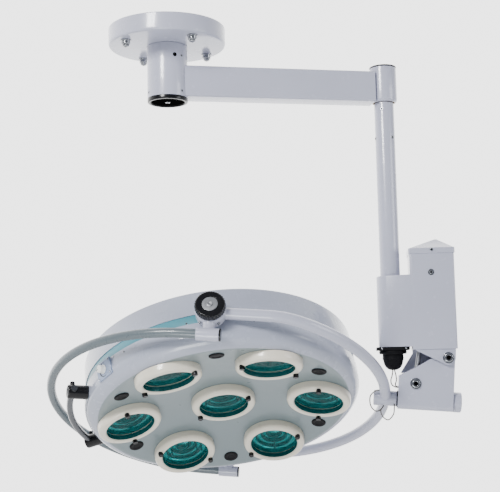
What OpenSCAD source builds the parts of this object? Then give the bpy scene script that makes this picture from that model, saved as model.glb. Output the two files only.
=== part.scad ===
// Ceiling-mounted seven-lens operating light on a swivel arm with a spring-balanced lamp head.
// Origin: centre of the ceiling face of the flange. +Z up, +X along the horizontal arm.
// The rest pose is given by the four angles in [Pose].

/* [Ceiling flange] */
// Diameter of the ceiling flange
flange_d = 290; // [240:1:350]
// Height of the ceiling flange
flange_h = 44; // [36:1:60]
// Wall of the flange casting
flange_wall = 8; // [5:0.5:12]
// Pitch circle of the four fixing holes
flange_pcd = 234; // [190:1:280]
// Diameter of each fixing hole
flange_hole_d = 13; // [9:0.5:16]
// Angle of the first fixing hole
flange_hole_angle = 24.5; // [0:0.5:89]

/* [Swivel column] */
// Outside diameter of the swivel column
column_d = 100; // [84:1:120]
// Length of the swivel column below the flange
column_len = 132; // [118:1:180]
// Wall of the column
column_wall = 5; // [3:0.5:9]
// Diameter of the fixed ceiling spindle
spindle_d = 40; // [30:1:48]
// Height of the black cap under the column
column_cap_h = 10; // [6:1:20]

/* [Arm] */
// Distance between the column axis and the drop tube axis
arm_len = 558; // [420:1:900]
// Height of the arm's box section
arm_h = 78; // [60:1:90]
// Width of the arm's box section
arm_w = 60; // [44:1:64]
// Wall of the arm's box section
arm_wall = 4; // [2:0.5:8]
// Outside diameter of the outer hub
hub_d = 68; // [62:1:90]
// How far the outer hub stands above the arm
hub_rise = 14; // [8:1:40]

/* [Drop tube] */
// Outside diameter of the drop tube
drop_d = 50; // [42:1:56]
// Wall of the drop tube
drop_wall = 3; // [2:0.5:6]
// Length of the drop tube below the outer hub
drop_len = 616; // [480:1:1200]
// Diameter of the spigot that turns in the outer hub
spigot_d = 36; // [24:1:40]

/* [Balance box] */
// Length of the tall box from its tube side to its far side
box_len = 110; // [100:1:140]
// Distance from the tube axis to the near wall of the tall box
box_start = 47; // [42:1:60]
// Width of the cover, front to back
box_w = 92; // [84:1:120]
// Height of the tall box above the stepped shoulder
box_rise = 65; // [40:1:120]
// Height of the lower cover
cover_h = 178; // [165:1:240]
// Wall of the cover
cover_wall = 3; // [2:0.5:5]
// Radius of the cover's round end about the tube
cover_end_r = 35; // [32:1:44]
// Height of the lid's peak above its rim
lid_peak = 25; // [10:1:45]
// Outside diameter of the balance spring
spring_d = 44; // [30:1:46]
// Wire diameter of the balance spring
spring_wire = 6; // [4:0.5:7]
// Diameter of the spring rod
rod_d = 12; // [10:0.5:14]

/* [Lift housing] */
// Distance of the main pivot from the tube axis
pivot_x = 133; // [125:1:150]
// Depth of the main pivot below the cover's lower edge
pivot_drop = 22; // [20:1:32]
// Diameter of the main pivot
pivot_d = 16; // [12:1:20]
// Length of the lift housing on the head's side of the pivot
lift_len = 118; // [110:1:150]
// Depth of the yoke shaft below the main pivot
shaft_drop = 108; // [100:1:130]
// Diameter of the yoke shaft
shaft_d = 24; // [20:1:30]

/* [Yoke] */
// Distance from the lamp head's centre to the yoke hub's centre
yoke_reach = 410; // [400:1:440]
// Outside diameter of the yoke tube
yoke_d = 27; // [22:0.5:30]
// Half the distance between the inner faces of the two knuckles
knuckle_inner = 354; // [352:1:380]
// Thickness of each knuckle's boss
knuckle_t = 28; // [26:1:36]
// Diameter of each knuckle's boss
knuckle_d = 72; // [64:1:80]
// Diameter of the tilt pins
tilt_pin_d = 18; // [16:1:24]
// Outside diameter of the guard ring tube
ring_d = 22; // [18:0.5:26]
// Depth of the guard ring below the tilt axis
ring_drop = 62.5; // [54:0.5:75]
// Straight run of the guard ring beside each knuckle
ring_straight = 49; // [36:1:60]
// Diameter of the brake knobs
knob_d = 71; // [50:1:80]
// Thickness of the brake knobs
knob_t = 19; // [14:1:30]

/* [Lamp head] */
// Diameter of the front shell
head_d = 688; // [660:1:692]
// Depth of the front shell's straight side
front_side = 27; // [20:1:40]
// Radius of the front shell's rolled edge
front_edge_r = 34; // [24:1:44]
// Height of the seam band
band_h = 24; // [16:1:36]
// Height of the back shell's side
back_side = 60; // [54:1:90]
// Rise of the back shell's crown
back_crown = 20; // [8:1:40]
// Sheet thickness of the head's shells
shell_t = 1.6; // [1.2:0.2:4]
// Focal distance, the radius of the dished face
focal_r = 1200; // [1050:10:1500]
// Pitch radius of the six outer lamp units
lens_pitch_r = 240; // [225:1:250]
// Outside diameter of a bezel
bezel_d = 160; // [140:1:164]
// Height of a bezel above the dished face
bezel_h = 25; // [18:1:32]
// Clear opening of a bezel
lens_open_d = 122; // [100:1:124]
// Pitch radius of the six rubber plugs
plug_pitch_r = 275; // [270:1:285]
// Diameter of a rubber plug
plug_d = 37; // [24:1:40]
// Diameter of the handle bar
handle_d = 16; // [12:1:20]
// Clearance between the handle bar and the head's side
handle_reach = 28; // [26:1:34]

/* [Fits] */
// Radial running clearance of shafts and pins
run_gap = 0.05; // [0.02:0.01:0.09]
// Gap between faces that slide past each other
face_gap = 0.5; // [0.3:0.1:1.5]

/* [Pose] */
// Swivel of the drop tube in the outer hub
pose_swivel = -15.6; // [-90:0.1:90]
// Lift of the lamp head above level
pose_lift = 4.64; // [-6:0.01:8]
// Roll of the yoke about its shaft, near end up
pose_roll = 28.4; // [-40:0.1:40]
// Tilt of the lamp head in the yoke
pose_tilt = 12; // [-40:0.1:40]

/* [Hidden] */
$fn = 96;
tiny = 0.01;

paint = "lavender";
steel = "silver";
brass = "darkkhaki";
black = "#1c1c1e";
teal = "#3f9aa3";
cream = "#efe9da";

// --- levels of the ceiling group ---
column_top = -flange_h - face_gap;
column_bottom = -flange_h - column_len;
column_r = column_d / 2;
column_in_r = column_r - column_wall;
spindle_r = spindle_d / 2;
socket_top = -14;
bush_h = 18;
bush_top_z = column_top - 8;
bush_low_z = column_bottom + 46;
spindle_washer_t = 4;
spindle_washer_r = spindle_r + 9;
spindle_nut_h = 15;
spindle_nut_r = 17;
spindle_stub_r = 12;
spindle_foot = bush_low_z - bush_h - face_gap;
cap_lip_h = 6;
boss_r = spindle_r + 14;
nut_r = flange_hole_d;
nut_h = 11;

// --- arm and outer hub ---
arm_bottom = column_bottom + 2;
arm_top = arm_bottom + arm_h;
hub_r = hub_d / 2;
hub_bottom = arm_bottom + 1;
hub_top = arm_top + hub_rise;
hub_wall = 6;
hub_in_r = hub_r - hub_wall;
hub_edge_r = 5;
hub_cap_t = 4;
hub_bush_h = 20;
spigot_r = spigot_d / 2;
upper_bush_top = hub_top - 23;
spigot_washer_t = 3;
spigot_nut_h = 11;
spigot_nut_r = 15;
spigot_stub_r = 9;

// --- drop tube and balance box, in the drop frame ---
drop_r = drop_d / 2;
drop_in_r = drop_r - drop_wall;
drop_top = hub_bottom - face_gap;
drop_bottom = drop_top - drop_len;
plug_len = 110;
tube_screw_r = 4;
cover_low = drop_bottom - 8;
cover_low_right = cover_low - 8;
shoulder = cover_low + cover_h;
tall_top = shoulder + box_rise;
box_end = box_start + box_len;
box_mid = box_start + box_len / 2;
lid_rim_h = 14;
lid_over = 2;
box_half = box_w / 2;
corner_r = 5;
plate_t = 5;
plate_out = box_half - cover_wall - face_gap;
plate_in = plate_out - plate_t;
web_x = drop_r + 13;
web_t = 8;
plate_top = shoulder - 20;
plate_low = cover_low + 10;
web_low = plate_low + 30;
cheek_x = box_start + cover_wall + face_gap;
web_half = min(plate_out, cover_half(web_x, cover_wall) - face_gap);
sleeve_wall = 6;

// --- main pivot and the spring rod ---
pivot_z = cover_low_right - pivot_drop;
pivot_r = pivot_d / 2;
cheek_r = 18;
lift_boss_half = plate_in - face_gap;
lift_half = lift_boss_half - 6;
lift_wall = 5;
lift_nose_r = 17.5;
// the rod pin sits towards the head and below the main pivot, in the lift frame
pin_u = -76;
pin_w = -68;
pin_r = 7;
rod_r = rod_d / 2;
rod_lean = 10;
rod_eye_r = 14;
rod_eye_t = 16;
seat_dist = 160;
seat_t = 8;
seat_hole_r = rod_r + 3;
seat_half_l = 24;
spring_len = 130;
spring_r = spring_d / 2;
spring_turns = 8;
rod_washer_t = 4;
rod_nut_h = 12;

// --- lift housing and yoke shaft, in the lift frame ---
shaft_r = shaft_d / 2;
shaft_bush_r = shaft_r + 4;
shaft_bush_h = 20;
bearing_r = shaft_bush_r + 7;
lift_right = lift_nose_r;
lift_low = -shaft_drop - 24;
lift_low_r = 12;
seal_t = 1.8;
seal_r = 20;
hub_tube_r = 19;
hub_half = 28.5;
hub_u = -lift_len - seal_t - face_gap - hub_half;
yoke_u = hub_u - yoke_reach;
end_cap_t = 20;
end_cap_r = 25;
end_cap_gap = 1.5;

// --- yoke and knuckles, in the yoke frame (origin at the head's centre, X to the hub, near end at -Y) ---
yoke_r = yoke_d / 2;
knuckle_r = knuckle_d / 2;
knuckle_outer = knuckle_inner + knuckle_t;
yoke_main_deg = 64;
yoke_bend_r = 140;
// the main arc's radius follows from the straight ends, which lie beside the bosses
yoke_end_y = knuckle_inner + 8;
yoke_arc_r = yoke_bend_r + (yoke_end_y - yoke_bend_r) / sin(yoke_main_deg);
yoke_arc_x = yoke_reach - yoke_arc_r;
yoke_bend_x = yoke_arc_x + (yoke_arc_r - yoke_bend_r) * cos(yoke_main_deg);
yoke_bend_y = yoke_end_y - yoke_bend_r;
ring_r = ring_d / 2;
ring_y = knuckle_inner + knuckle_t / 2 + 4;
sleeve_r = ring_r + 3;
sleeve_half = 26;
plug_t = 4;
neck_r = 14;
tilt_r = tilt_pin_d / 2;
tilt_bush_r = tilt_r + 4;
knob_r = knob_d / 2;
knob_stub_r = 8;
knob_start = knuckle_outer + face_gap;
knob_flutes = 36;

// --- lamp head, in the head frame (tilt axis along Y at z = 0, light leaves along -Z) ---
head_r = head_d / 2;
band_top = band_h * 0.62;
band_low = band_top - band_h;
band_r = head_r - 5;
back_r = head_r - 3;
back_top = band_top + back_side;
front_low = band_low - front_side - front_edge_r;
edge_x = head_r - front_edge_r;
// the dish meets the rolled edge's lowest circle
focal_z = front_low - sqrt(focal_r * focal_r - edge_x * edge_x);
lens_hole_r = lens_open_d / 2 + 5;
bezel_r = bezel_d / 2;
bezel_round = 14;
bezel_seat = focal_r - sqrt(focal_r * focal_r - bezel_r * bezel_r) + 0.05;
glass_r = lens_open_d / 2 + 2;
glass_t = 4;
glass_low = -11;
collar_top = 6;
reflector_r = lens_open_d / 2 + 1;
reflector_t = 1.5;
reflector_low = collar_top;
socket_r = 14;
neck_hole_r = 15;
socket_len = 24;
thumb_r = 6.5;
thumb_h = 11;
thumb_stem_r = 2.5;
thumb_pitch = (lens_open_d / 2 + bezel_r) / 2 + 1.5;
frame_top = 22;
frame_t = 3;
frame_wall = 3;
frame_r = band_r - shell_t;
bridge_z = 42;
pin_block_w = 44;
pin_block_l = 46;
pin_block_h = 30;
collar_t = 5;
handle_r = handle_d / 2;
handle_z = band_low - 23;
handle_arc_r = head_r + handle_reach + handle_r;
handle_spread = 24;
bracket_r = 17;
clamp_knob_r = 6;
switch_angle = 50;
switch_w = 56;
switch_h = 42;
switch_t = 4;
switch_z = band_low - 22;
switch_lean = 9;
dimmer_r = 11;
dimmer_len = 14;
dimmer_stem_r = 3;

// --- leads: chosen routes, each from its exit to its end ---
wire_r = 1.5;
// from the boot's tip to the hole above the yoke shaft
lead_a = [[-1.8, 0, 0.5], [-4, -4, -12], [-8, -8, -25], [-6, -9, -36], [3, -7, -42], [13, -5.6, -42.5]];
lead_b = [[1.8, 0.5, 0.5], [5, 0, -12], [6, -2, -25], [3, -3, -35], [6, -2.5, -41], [13, -2, -42]];
// loops at the yoke hub, measured from the hub's centre
hub_loop_a = [[-12, -34, 3], [-24, -32, 2], [-37, -24, -10], [-35, -11, -29], [-22, -1, -38],
              [-9, 3, -31], [-3, 4, -19]];
hub_loop_b = [[-2, 8, -18], [-9, 9, -30], [-4, 8, -47], [10, 11, -54], [22, 4, -42], [23.5, -5, -27], [23, -5.5, -18.5]];
// points added between two points of a route
route_steps = 5;

function unit(v) = v / norm(v);
// smooth curve through the points of a route
function smooth(p) =
  let(n = len(p))
  [for (i = [0 : n - 2], k = [0 : route_steps - 1])
    let(a = p[max(i - 1, 0)], b = p[i], c = p[i + 1], d = p[min(i + 2, n - 1)], t = k / route_steps)
    b + (c - a) * t / 2 + (2 * a - 5 * b + 4 * c - d) * t * t / 2 + (3 * b - a - 3 * c + d) * t * t * t / 2,
   p[n - 1]];
// direction of a route at point i
function along(p, i) = unit(p[min(i + 1, len(p) - 1)] - p[max(i - 1, 0)]);
// ring of a round tube about a route's point, square to the route
function ring_at(p, i, r, sides, ref) =
  let(t = along(p, i), a = unit(cross(ref, t)), b = cross(t, a))
  [for (k = [0 : sides - 1]) p[i] + r * (cos(360 * k / sides) * a + sin(360 * k / sides) * b)];
// points of a helix about Z
function helix(r, h, turns, steps) =
  [for (i = [0 : turns * steps]) [r * cos(360 * i / steps), r * sin(360 * i / steps), h * i / (turns * steps)]];

// round tube swept along a route, closed at both ends
module swept(p, r, sides, ref) {
  n = len(p);
  pts = [for (i = [0 : n - 1]) each ring_at(p, i, r, sides, ref)];
  side_faces = [for (i = [0 : n - 2], k = [0 : sides - 1])
    each [[i * sides + k, (i + 1) * sides + k, (i + 1) * sides + (k + 1) % sides],
          [i * sides + k, (i + 1) * sides + (k + 1) % sides, i * sides + (k + 1) % sides]]];
  start_face = [[for (k = [0 : sides - 1]) k]];
  end_face = [[for (k = [sides - 1 : -1 : 0]) (n - 1) * sides + k]];
  polyhedron(points = pts, faces = concat(side_faces, start_face, end_face), convexity = 6);
}

// --- frames of the moving groups ---
module in_drop() { translate([arm_len, 0, 0]) rotate([0, 0, pose_swivel]) children(); }
module in_lift() { in_drop() translate([pivot_x, 0, pivot_z]) rotate([0, pose_lift, 0]) children(); }
module in_yoke() { in_lift() translate([yoke_u, 0, -shaft_drop]) rotate([-pose_roll, 0, 0]) children(); }
module in_head() { in_yoke() rotate([0, -pose_tilt, 0]) children(); }
// a spot on the dished face: polar radius r, angle a from the near end towards the handle, local Z into the head
module on_dish(r, a) {
  translate([0, 0, focal_z]) rotate([0, 0, -a - 90]) rotate([0, asin(r / focal_r), 0]) translate([0, 0, focal_r])
    children();
}
// the seven lamp units: the middle one and six round it
module each_lens() {
  on_dish(0, 30) children();
  for (k = [0 : 5]) on_dish(lens_pitch_r, 30 + 60 * k) children();
}
// both ends of the tilt axis, written once for the near end
module both_ends() {
  children();
  mirror([0, 1, 0]) children();
}

// --- small shapes ---
// tube standing on z
module pipe(z0, z1, r_out, r_in) {
  difference() {
    translate([0, 0, z0]) cylinder(h = z1 - z0, r = r_out);
    translate([0, 0, z0 - 1]) cylinder(h = z1 - z0 + 2, r = r_in);
  }
}
// upright disc from z0 to z1
module disc(z0, z1, r) { translate([0, 0, z0]) cylinder(h = z1 - z0, r = r); }
// cylinder along X from x0 to x1
module bar_x(x0, x1, r) { translate([x0, 0, 0]) rotate([0, 90, 0]) cylinder(h = x1 - x0, r = r); }
// cylinder along Y from y0 to y1
module bar_y(y0, y1, r) { translate([0, y1, 0]) rotate([90, 0, 0]) cylinder(h = y1 - y0, r = r); }
// rounded rectangle from (x0, y0) to (x1, y1)
module round_rect(x0, x1, y0, y1, r) {
  translate([x0 + r, y0]) square([x1 - x0 - 2 * r, y1 - y0]);
  translate([x0, y0 + r]) square([x1 - x0, y1 - y0 - 2 * r]);
  for (x = [x0 + r, x1 - r], y = [y0 + r, y1 - r]) translate([x, y]) circle(r = r);
}
// cap screw head with a hex socket: the head stands from z = 0 to h, its stem goes down
module screw(r, h, stem_r, stem_l) {
  difference() {
    union() {
      cylinder(h = h, r = r);
      translate([0, 0, -stem_l]) cylinder(h = stem_l + tiny, r = stem_r);
    }
    translate([0, 0, h * 0.4]) cylinder(h = h, r = r * 0.5, $fn = 6);
  }
}

// === ceiling group ===
module ceiling_flange() {
  color(paint) difference() {
    rotate_extrude() {
      difference() {
        union() {
          translate([0, -flange_h]) square([flange_d / 2 - 4, flange_h]);
          translate([0, -flange_h + 4]) square([flange_d / 2, flange_h - 4]);
          translate([flange_d / 2 - 4, -flange_h + 4]) circle(r = 4);
        }
        translate([boss_r, -flange_h + flange_wall + 2])
          square([flange_d / 2 - flange_wall - boss_r, flange_h]);
      }
    }
    for (a = [0 : 90 : 270]) rotate([0, 0, a + flange_hole_angle]) translate([flange_pcd / 2, 0, -flange_h - 1])
      cylinder(h = flange_h + 2, d = flange_hole_d);
    disc(-flange_h - 1, socket_top, spindle_r);
  }
}

module flange_nuts() {
  color(steel) for (a = [0 : 90 : 270])
    rotate([0, 0, a + flange_hole_angle]) translate([flange_pcd / 2, 0, -flange_h]) mirror([0, 0, 1]) {
      difference() {
        union() {
          cylinder(h = 2.5, r = nut_r);
          cylinder(h = nut_h, r = nut_r * 0.82, $fn = 6);
          intersection() {
            translate([0, 0, nut_h - 1]) sphere(r = nut_r * 0.72);
            translate([0, 0, nut_h - 1]) cylinder(h = nut_r, r = nut_r);
          }
        }
        translate([0, 0, -1]) cylinder(h = nut_h + 1, d = flange_hole_d);
      }
    }
}

module ceiling_spindle() {
  color(steel) {
    disc(spindle_foot, socket_top, spindle_r);
    disc(spindle_foot - spindle_washer_t - spindle_nut_h - 2, spindle_foot + tiny, spindle_stub_r);
  }
}

module spindle_nut() {
  color(steel) difference() {
    union() {
      disc(spindle_foot - spindle_washer_t, spindle_foot, spindle_washer_r);
      translate([0, 0, spindle_foot - spindle_washer_t - spindle_nut_h])
        cylinder(h = spindle_nut_h + tiny, r = spindle_nut_r, $fn = 6);
    }
    disc(spindle_foot - spindle_washer_t - spindle_nut_h - 1, spindle_foot + 1, spindle_stub_r);
  }
}

// === swivel arm ===
module column_tube() {
  color(paint) difference() {
    pipe(column_bottom, column_top, column_r, column_in_r);
    // lock screw hole and the grub screws' holes
    translate([0, 0, column_top - 31]) rotate([0, 0, -75]) bar_x(column_in_r - 5, column_r + 5, 4.5);
    for (a = column_screw_angles) translate([0, 0, a[1]]) rotate([0, 0, a[0]])
      bar_x(column_in_r - 5, column_r + 5, column_screw_r);
  }
}
column_screw_r = 3;
// angle round the column and height of each grub screw
column_screw_angles = [[-52, column_top - 31], [-52, column_bottom + 12], [-165, column_bottom + 12]];

module column_screws() {
  color(steel) {
    for (a = column_screw_angles) translate([0, 0, a[1]]) rotate([0, 0, a[0]])
      bar_x(column_in_r, column_r + 0.8, column_screw_r);
    translate([0, 0, column_bottom - column_cap_h + 3]) mirror([0, 0, 1]) screw(6, 4, 3, column_cap_h);
  }
}

module column_bushes() {
  color(brass) {
    pipe(bush_top_z - bush_h, bush_top_z, column_in_r, spindle_r + run_gap);
    pipe(bush_low_z - bush_h, bush_low_z, column_in_r, spindle_r + run_gap);
  }
}

module column_cap() {
  color(black) difference() {
    union() {
      disc(column_bottom - column_cap_h, column_bottom, column_r);
      disc(column_bottom - tiny, column_bottom + cap_lip_h, column_in_r);
    }
    disc(column_bottom - column_cap_h - 1, column_bottom - column_cap_h + 3, column_r - 7);
    disc(column_bottom - 4, column_bottom + cap_lip_h + 1, column_in_r - 4);
    disc(column_bottom - column_cap_h, column_bottom, 3);
  }
}

module arm_beam() {
  color(paint) difference() {
    translate([0, -arm_w / 2, arm_bottom]) cube([arm_len, arm_w, arm_h]);
    translate([-1, -arm_w / 2 + arm_wall, arm_bottom + arm_wall])
      cube([arm_len + 2, arm_w - 2 * arm_wall, arm_h - 2 * arm_wall]);
    disc(arm_bottom - 1, arm_top + 1, column_r);
    translate([arm_len, 0, 0]) disc(arm_bottom - 1, arm_top + 1, hub_r);
  }
}

module outer_hub() {
  color(paint) translate([arm_len, 0, 0]) rotate_extrude() difference() {
    union() {
      translate([0, hub_bottom + hub_edge_r]) square([hub_r, hub_top - hub_bottom - hub_edge_r]);
      translate([0, hub_bottom]) square([hub_r - hub_edge_r, hub_edge_r + tiny]);
      translate([hub_r - hub_edge_r, hub_bottom + hub_edge_r]) circle(r = hub_edge_r);
    }
    translate([-1, hub_bottom - 1]) square([hub_in_r + 1, hub_top - hub_bottom + 2]);
  }
}

module hub_cap() {
  color(black) translate([arm_len, 0, 0]) {
    disc(hub_top, hub_top + hub_cap_t, hub_r);
    disc(hub_top - 5, hub_top + tiny, hub_in_r);
  }
}

module hub_bushes() {
  color(brass) translate([arm_len, 0, 0]) {
    pipe(upper_bush_top - hub_bush_h, upper_bush_top, hub_in_r, spigot_r + run_gap);
    pipe(hub_bottom, hub_bottom + hub_bush_h, hub_in_r, spigot_r + run_gap);
  }
}

// === drop tube and balance box ===
module drop_spigot() {
  color(steel) in_drop() difference() {
    union() {
      disc(drop_top - plug_len, drop_top, drop_in_r);
      disc(drop_top - tiny, upper_bush_top + face_gap, spigot_r);
      disc(upper_bush_top, upper_bush_top + spigot_washer_t + spigot_nut_h + 2, spigot_stub_r);
    }
    disc(drop_top - plug_len - 1, upper_bush_top + 30, 5);
    tube_screw_spots() bar_x(drop_in_r - 8, drop_r + 1, tube_screw_r);
  }
}

module spigot_nut() {
  z0 = upper_bush_top + face_gap;
  color(steel) in_drop() difference() {
    union() {
      disc(z0, z0 + spigot_washer_t, spigot_r + 6);
      translate([0, 0, z0 + spigot_washer_t - tiny]) cylinder(h = spigot_nut_h, r = spigot_nut_r, $fn = 6);
    }
    disc(z0 - 1, z0 + spigot_washer_t + spigot_nut_h + 1, spigot_stub_r);
  }
}

// screws that hold the tube on the spigot: one high, two lower
module tube_screw_spots() {
  translate([0, 0, drop_top - 19]) rotate([0, 0, -105]) children();
  for (a = [-45, -165]) translate([0, 0, drop_top - 92]) rotate([0, 0, a]) children();
}

module drop_tube() {
  color(paint) in_drop() difference() {
    pipe(drop_bottom, drop_top, drop_r, drop_in_r);
    tube_screw_spots() bar_x(drop_in_r - 5, drop_r + 1, tube_screw_r);
  }
}

module tube_screws() {
  color(steel) in_drop() tube_screw_spots() difference() {
    bar_x(drop_in_r - 8, drop_r + 0.6, tube_screw_r);
    translate([drop_r - 1.5, 0, 0]) rotate([0, 90, 0]) cylinder(h = 4, r = 2, $fn = 6);
  }
}

// the lower cover's side is a tangent from the round end to the tall box's near corner, at this angle
function cover_angle(inset) =
  atan2(box_half - inset, box_start + corner_r)
  + acos((cover_end_r - inset) / norm([box_start + corner_r, box_half - inset]));
// half width of the lower cover's outline at x
function cover_half(x, inset) =
  ((cover_end_r - inset) - x * cos(cover_angle(inset))) / sin(cover_angle(inset));

// outline of the lower cover: a round end about the tube that widens into the tall box
module cover_outline(inset) {
  r = cover_end_r - inset;
  h = box_half - inset;
  ang = cover_angle(inset);
  circle(r = r);
  polygon([[0, 0], [r * cos(ang), r * sin(ang)], [box_start + corner_r, h],
           [box_start + corner_r, -h], [r * cos(ang), -r * sin(ang)]]);
  round_rect(box_start + inset, box_end - inset, -h, h, corner_r - inset * 0.5);
}

module balance_cover() {
  color(paint) in_drop() difference() {
    union() {
      translate([0, 0, cover_low]) linear_extrude(cover_h) cover_outline(0);
      translate([0, 0, cover_low_right]) linear_extrude(tall_top - cover_low_right - lid_rim_h + 8)
        round_rect(box_start, box_end, -box_half, box_half, corner_r);
    }
    translate([0, 0, cover_low_right - 1]) linear_extrude(shoulder - cover_low_right - cover_wall + 1)
      cover_outline(cover_wall);
    translate([0, 0, cover_low_right - 1]) linear_extrude(tall_top - cover_low_right + 20)
      round_rect(box_start + cover_wall, box_end - cover_wall, -box_half + cover_wall, box_half - cover_wall,
                 3 * face_gap);
    disc(shoulder - cover_wall - 1, shoulder + 1, drop_r + face_gap);
    cover_screw_spots() translate([0, 0, -20]) cylinder(h = 40, r = 2.5);
  }
}

module balance_lid() {
  z0 = tall_top - lid_rim_h;
  w = box_half + lid_over;
  color(paint) in_drop() {
    difference() {
      translate([0, 0, z0]) linear_extrude(lid_rim_h) round_rect(box_start - lid_over, box_end + lid_over, -w, w, corner_r);
      translate([0, 0, z0 - 1]) linear_extrude(lid_rim_h - 3)
        round_rect(box_start, box_end, -box_half, box_half, corner_r);
      cover_screw_spots() translate([0, 0, -20]) cylinder(h = 40, r = 2.5);
    }
    // low peaked crown
    hull() {
      translate([box_start + 1, -w + 3, tall_top - tiny]) cube([box_len - 2, 2 * w - 6, tiny]);
      translate([box_mid + 12, -8, tall_top + lid_peak - 1]) cube([3, 16, 1]);
    }
  }
}

// screws of the cover, each along local Z out of its wall
module cover_screw_spots() {
  for (m = [0, 1]) mirror([0, m, 0]) {
    translate([box_mid, -box_half - lid_over, tall_top - 5]) rotate([90, 0, 0]) children();
  }
}
// washers and screws lower on the cover's front and back
module cover_low_spots() {
  for (m = [0, 1]) mirror([0, m, 0])
    translate([box_mid - 3, -box_half, shoulder + 4]) rotate([90, 0, 0]) children();
}

module cover_screws() {
  color(steel) in_drop() {
    cover_screw_spots() screw(4, 2.5, 2.5, lid_over + cover_wall);
    cover_low_spots() cylinder(h = 1, r = 8);
    cover_low_spots() translate([0, 0, 1 - tiny]) screw(5, 3, 2.5, 1 - tiny);
  }
}

module balance_bracket() {
  color(paint) in_drop() difference() {
    union() {
      // clamp sleeve on the tube and the web beside it
      pipe(plate_low, plate_top, drop_r + sleeve_wall, drop_r);
      translate([drop_r + 2, -12, web_low]) cube([web_x - drop_r, 24, plate_top - web_low]);
      translate([web_x, -web_half, web_low]) cube([web_t, 2 * web_half, plate_top - web_low]);
      for (side = [-1, 1]) translate([web_x, side > 0 ? web_half - plate_t : -web_half, web_low])
        cube([cheek_x - web_x + 6, plate_t, plate_top - web_low]);
      // far web
      translate([box_end - cover_wall - face_gap - plate_t, -plate_out, plate_low])
        cube([plate_t, 2 * plate_out, plate_top - plate_low]);
      // front and back cheeks
      for (side = [-1, 1]) translate([0, side > 0 ? plate_out : -plate_in, 0]) rotate([90, 0, 0])
        linear_extrude(plate_t) cheek_outline(side > 0);
    }
    translate([pivot_x, 0, pivot_z]) bar_y(-plate_out - 1, plate_out + 1, pivot_r);
    seat_frame() translate([0, 0, -seat_t]) linear_extrude(seat_t)
      square([2 * seat_half_l, 2 * (plate_in + 2.5)], center = true);
  }
}

// cheek with the pivot eye: it widens below the cover, and the back one carries a guard plate
module cheek_outline(back) {
  translate([cheek_x, plate_low]) square([box_end - cover_wall - face_gap - cheek_x, plate_top - plate_low]);
  polygon([[cheek_x, plate_low + 1], [box_end - cover_wall - face_gap, plate_low + 1],
           [pivot_x + cheek_r, pivot_z], [pivot_x, pivot_z - cheek_r],
           [pivot_x - cheek_r * 0.7, pivot_z - cheek_r * 0.72], [box_start + 9, cover_low_right - 3]]);
  translate([pivot_x, pivot_z]) circle(r = cheek_r);
  if (back) {
    polygon([[cheek_x, plate_low + 1], [cheek_x, cover_low_right - 8],
             [box_start - 28, pivot_z - 34], [box_start + 20, pivot_z - 40], [pivot_x, pivot_z - cheek_r]]);
  }
}

module pivot_bolt() {
  color(steel) in_drop() translate([pivot_x, 0, pivot_z]) {
    bar_y(-plate_out - 2, plate_out + 12, pivot_r);
    for (side = [-1, 1]) difference() {
      translate([0, side * (plate_out + 1), 0]) bar_y(-1, 1, 14);
      bar_y(-plate_out - 9, plate_out + 9, pivot_r);
    }
    translate([0, -plate_out - 2, 0]) rotate([90, 0, 0]) screw(11, 8, pivot_r, 0.5);
    difference() {
      translate([0, plate_out + 2, 0]) rotate([-90, 0, 0]) cylinder(h = 9, r = 13, $fn = 6);
      bar_y(plate_out, plate_out + 20, pivot_r);
    }
  }
}

// frame of the spring rod: origin at the rod pin, Z up the rod
module rod_frame() {
  in_lift() translate([pin_u, 0, pin_w]) rotate([0, rod_lean - pose_lift, 0]) children();
}
// the same line of action seen from the balance bracket, origin at the seat's upper face
module seat_frame() {
  px = pivot_x + pin_u * cos(pose_lift) + pin_w * sin(pose_lift);
  pz = pivot_z - pin_u * sin(pose_lift) + pin_w * cos(pose_lift);
  translate([px, 0, pz]) rotate([0, rod_lean, 0]) translate([0, 0, seat_dist]) children();
}

module spring_seat() {
  color(steel) in_drop() seat_frame() difference() {
    translate([-seat_half_l, -plate_in - 2.5, -seat_t]) cube([2 * seat_half_l, 2 * plate_in + 5, seat_t]);
    disc(-seat_t - 1, 1, seat_hole_r);
  }
}

module balance_spring() {
  coil_r = spring_r - spring_wire / 2;
  color(steel) in_drop() seat_frame() translate([0, 0, spring_wire / 2 + 0.4])
    swept(helix(coil_r, spring_len - spring_wire - 0.8, spring_turns, 14), spring_wire / 2, 6, [0, 0, 1]);
}

module spring_rod() {
  top = seat_dist + spring_len + rod_washer_t + rod_nut_h + 4;
  color(steel) rod_frame() difference() {
    union() {
      cylinder(h = top, r = rod_r);
      bar_y(-rod_eye_t / 2, rod_eye_t / 2, rod_eye_r);
    }
    bar_y(-rod_eye_t, rod_eye_t, pin_r + run_gap);
  }
}

module rod_nut() {
  z0 = seat_dist + spring_len;
  color(steel) rod_frame() difference() {
    union() {
      disc(z0, z0 + rod_washer_t, spring_r);
      translate([0, 0, z0 + rod_washer_t - tiny]) cylinder(h = rod_nut_h, r = rod_r * 1.9, $fn = 6);
    }
    disc(z0 - 1, z0 + rod_washer_t + rod_nut_h + 1, rod_r);
  }
}

module cable_boot() {
  plate = 41;
  color(black) in_drop() {
    difference() {
      translate([0, 0, cover_low_right]) linear_extrude(cover_low - cover_low_right)
        round_rect(-plate, plate, -plate + 4, plate - 4, 6);
      disc(cover_low_right + 2, cover_low + 1, drop_r);
    }
    translate([0, 0, cover_low_right]) rotate_extrude() intersection() {
      union() {
        translate([0, -9]) square([34, 9 + tiny]);
        translate([0, -25]) square([26, 17]);
        difference() {
          translate([0, -49]) square([23, 25]);
          translate([34, -49]) circle(r = 30);
        }
      }
      translate([0, -49]) square([60, 60]);
    }
  }
}
boot_tip = cover_low_right - 49;

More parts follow.
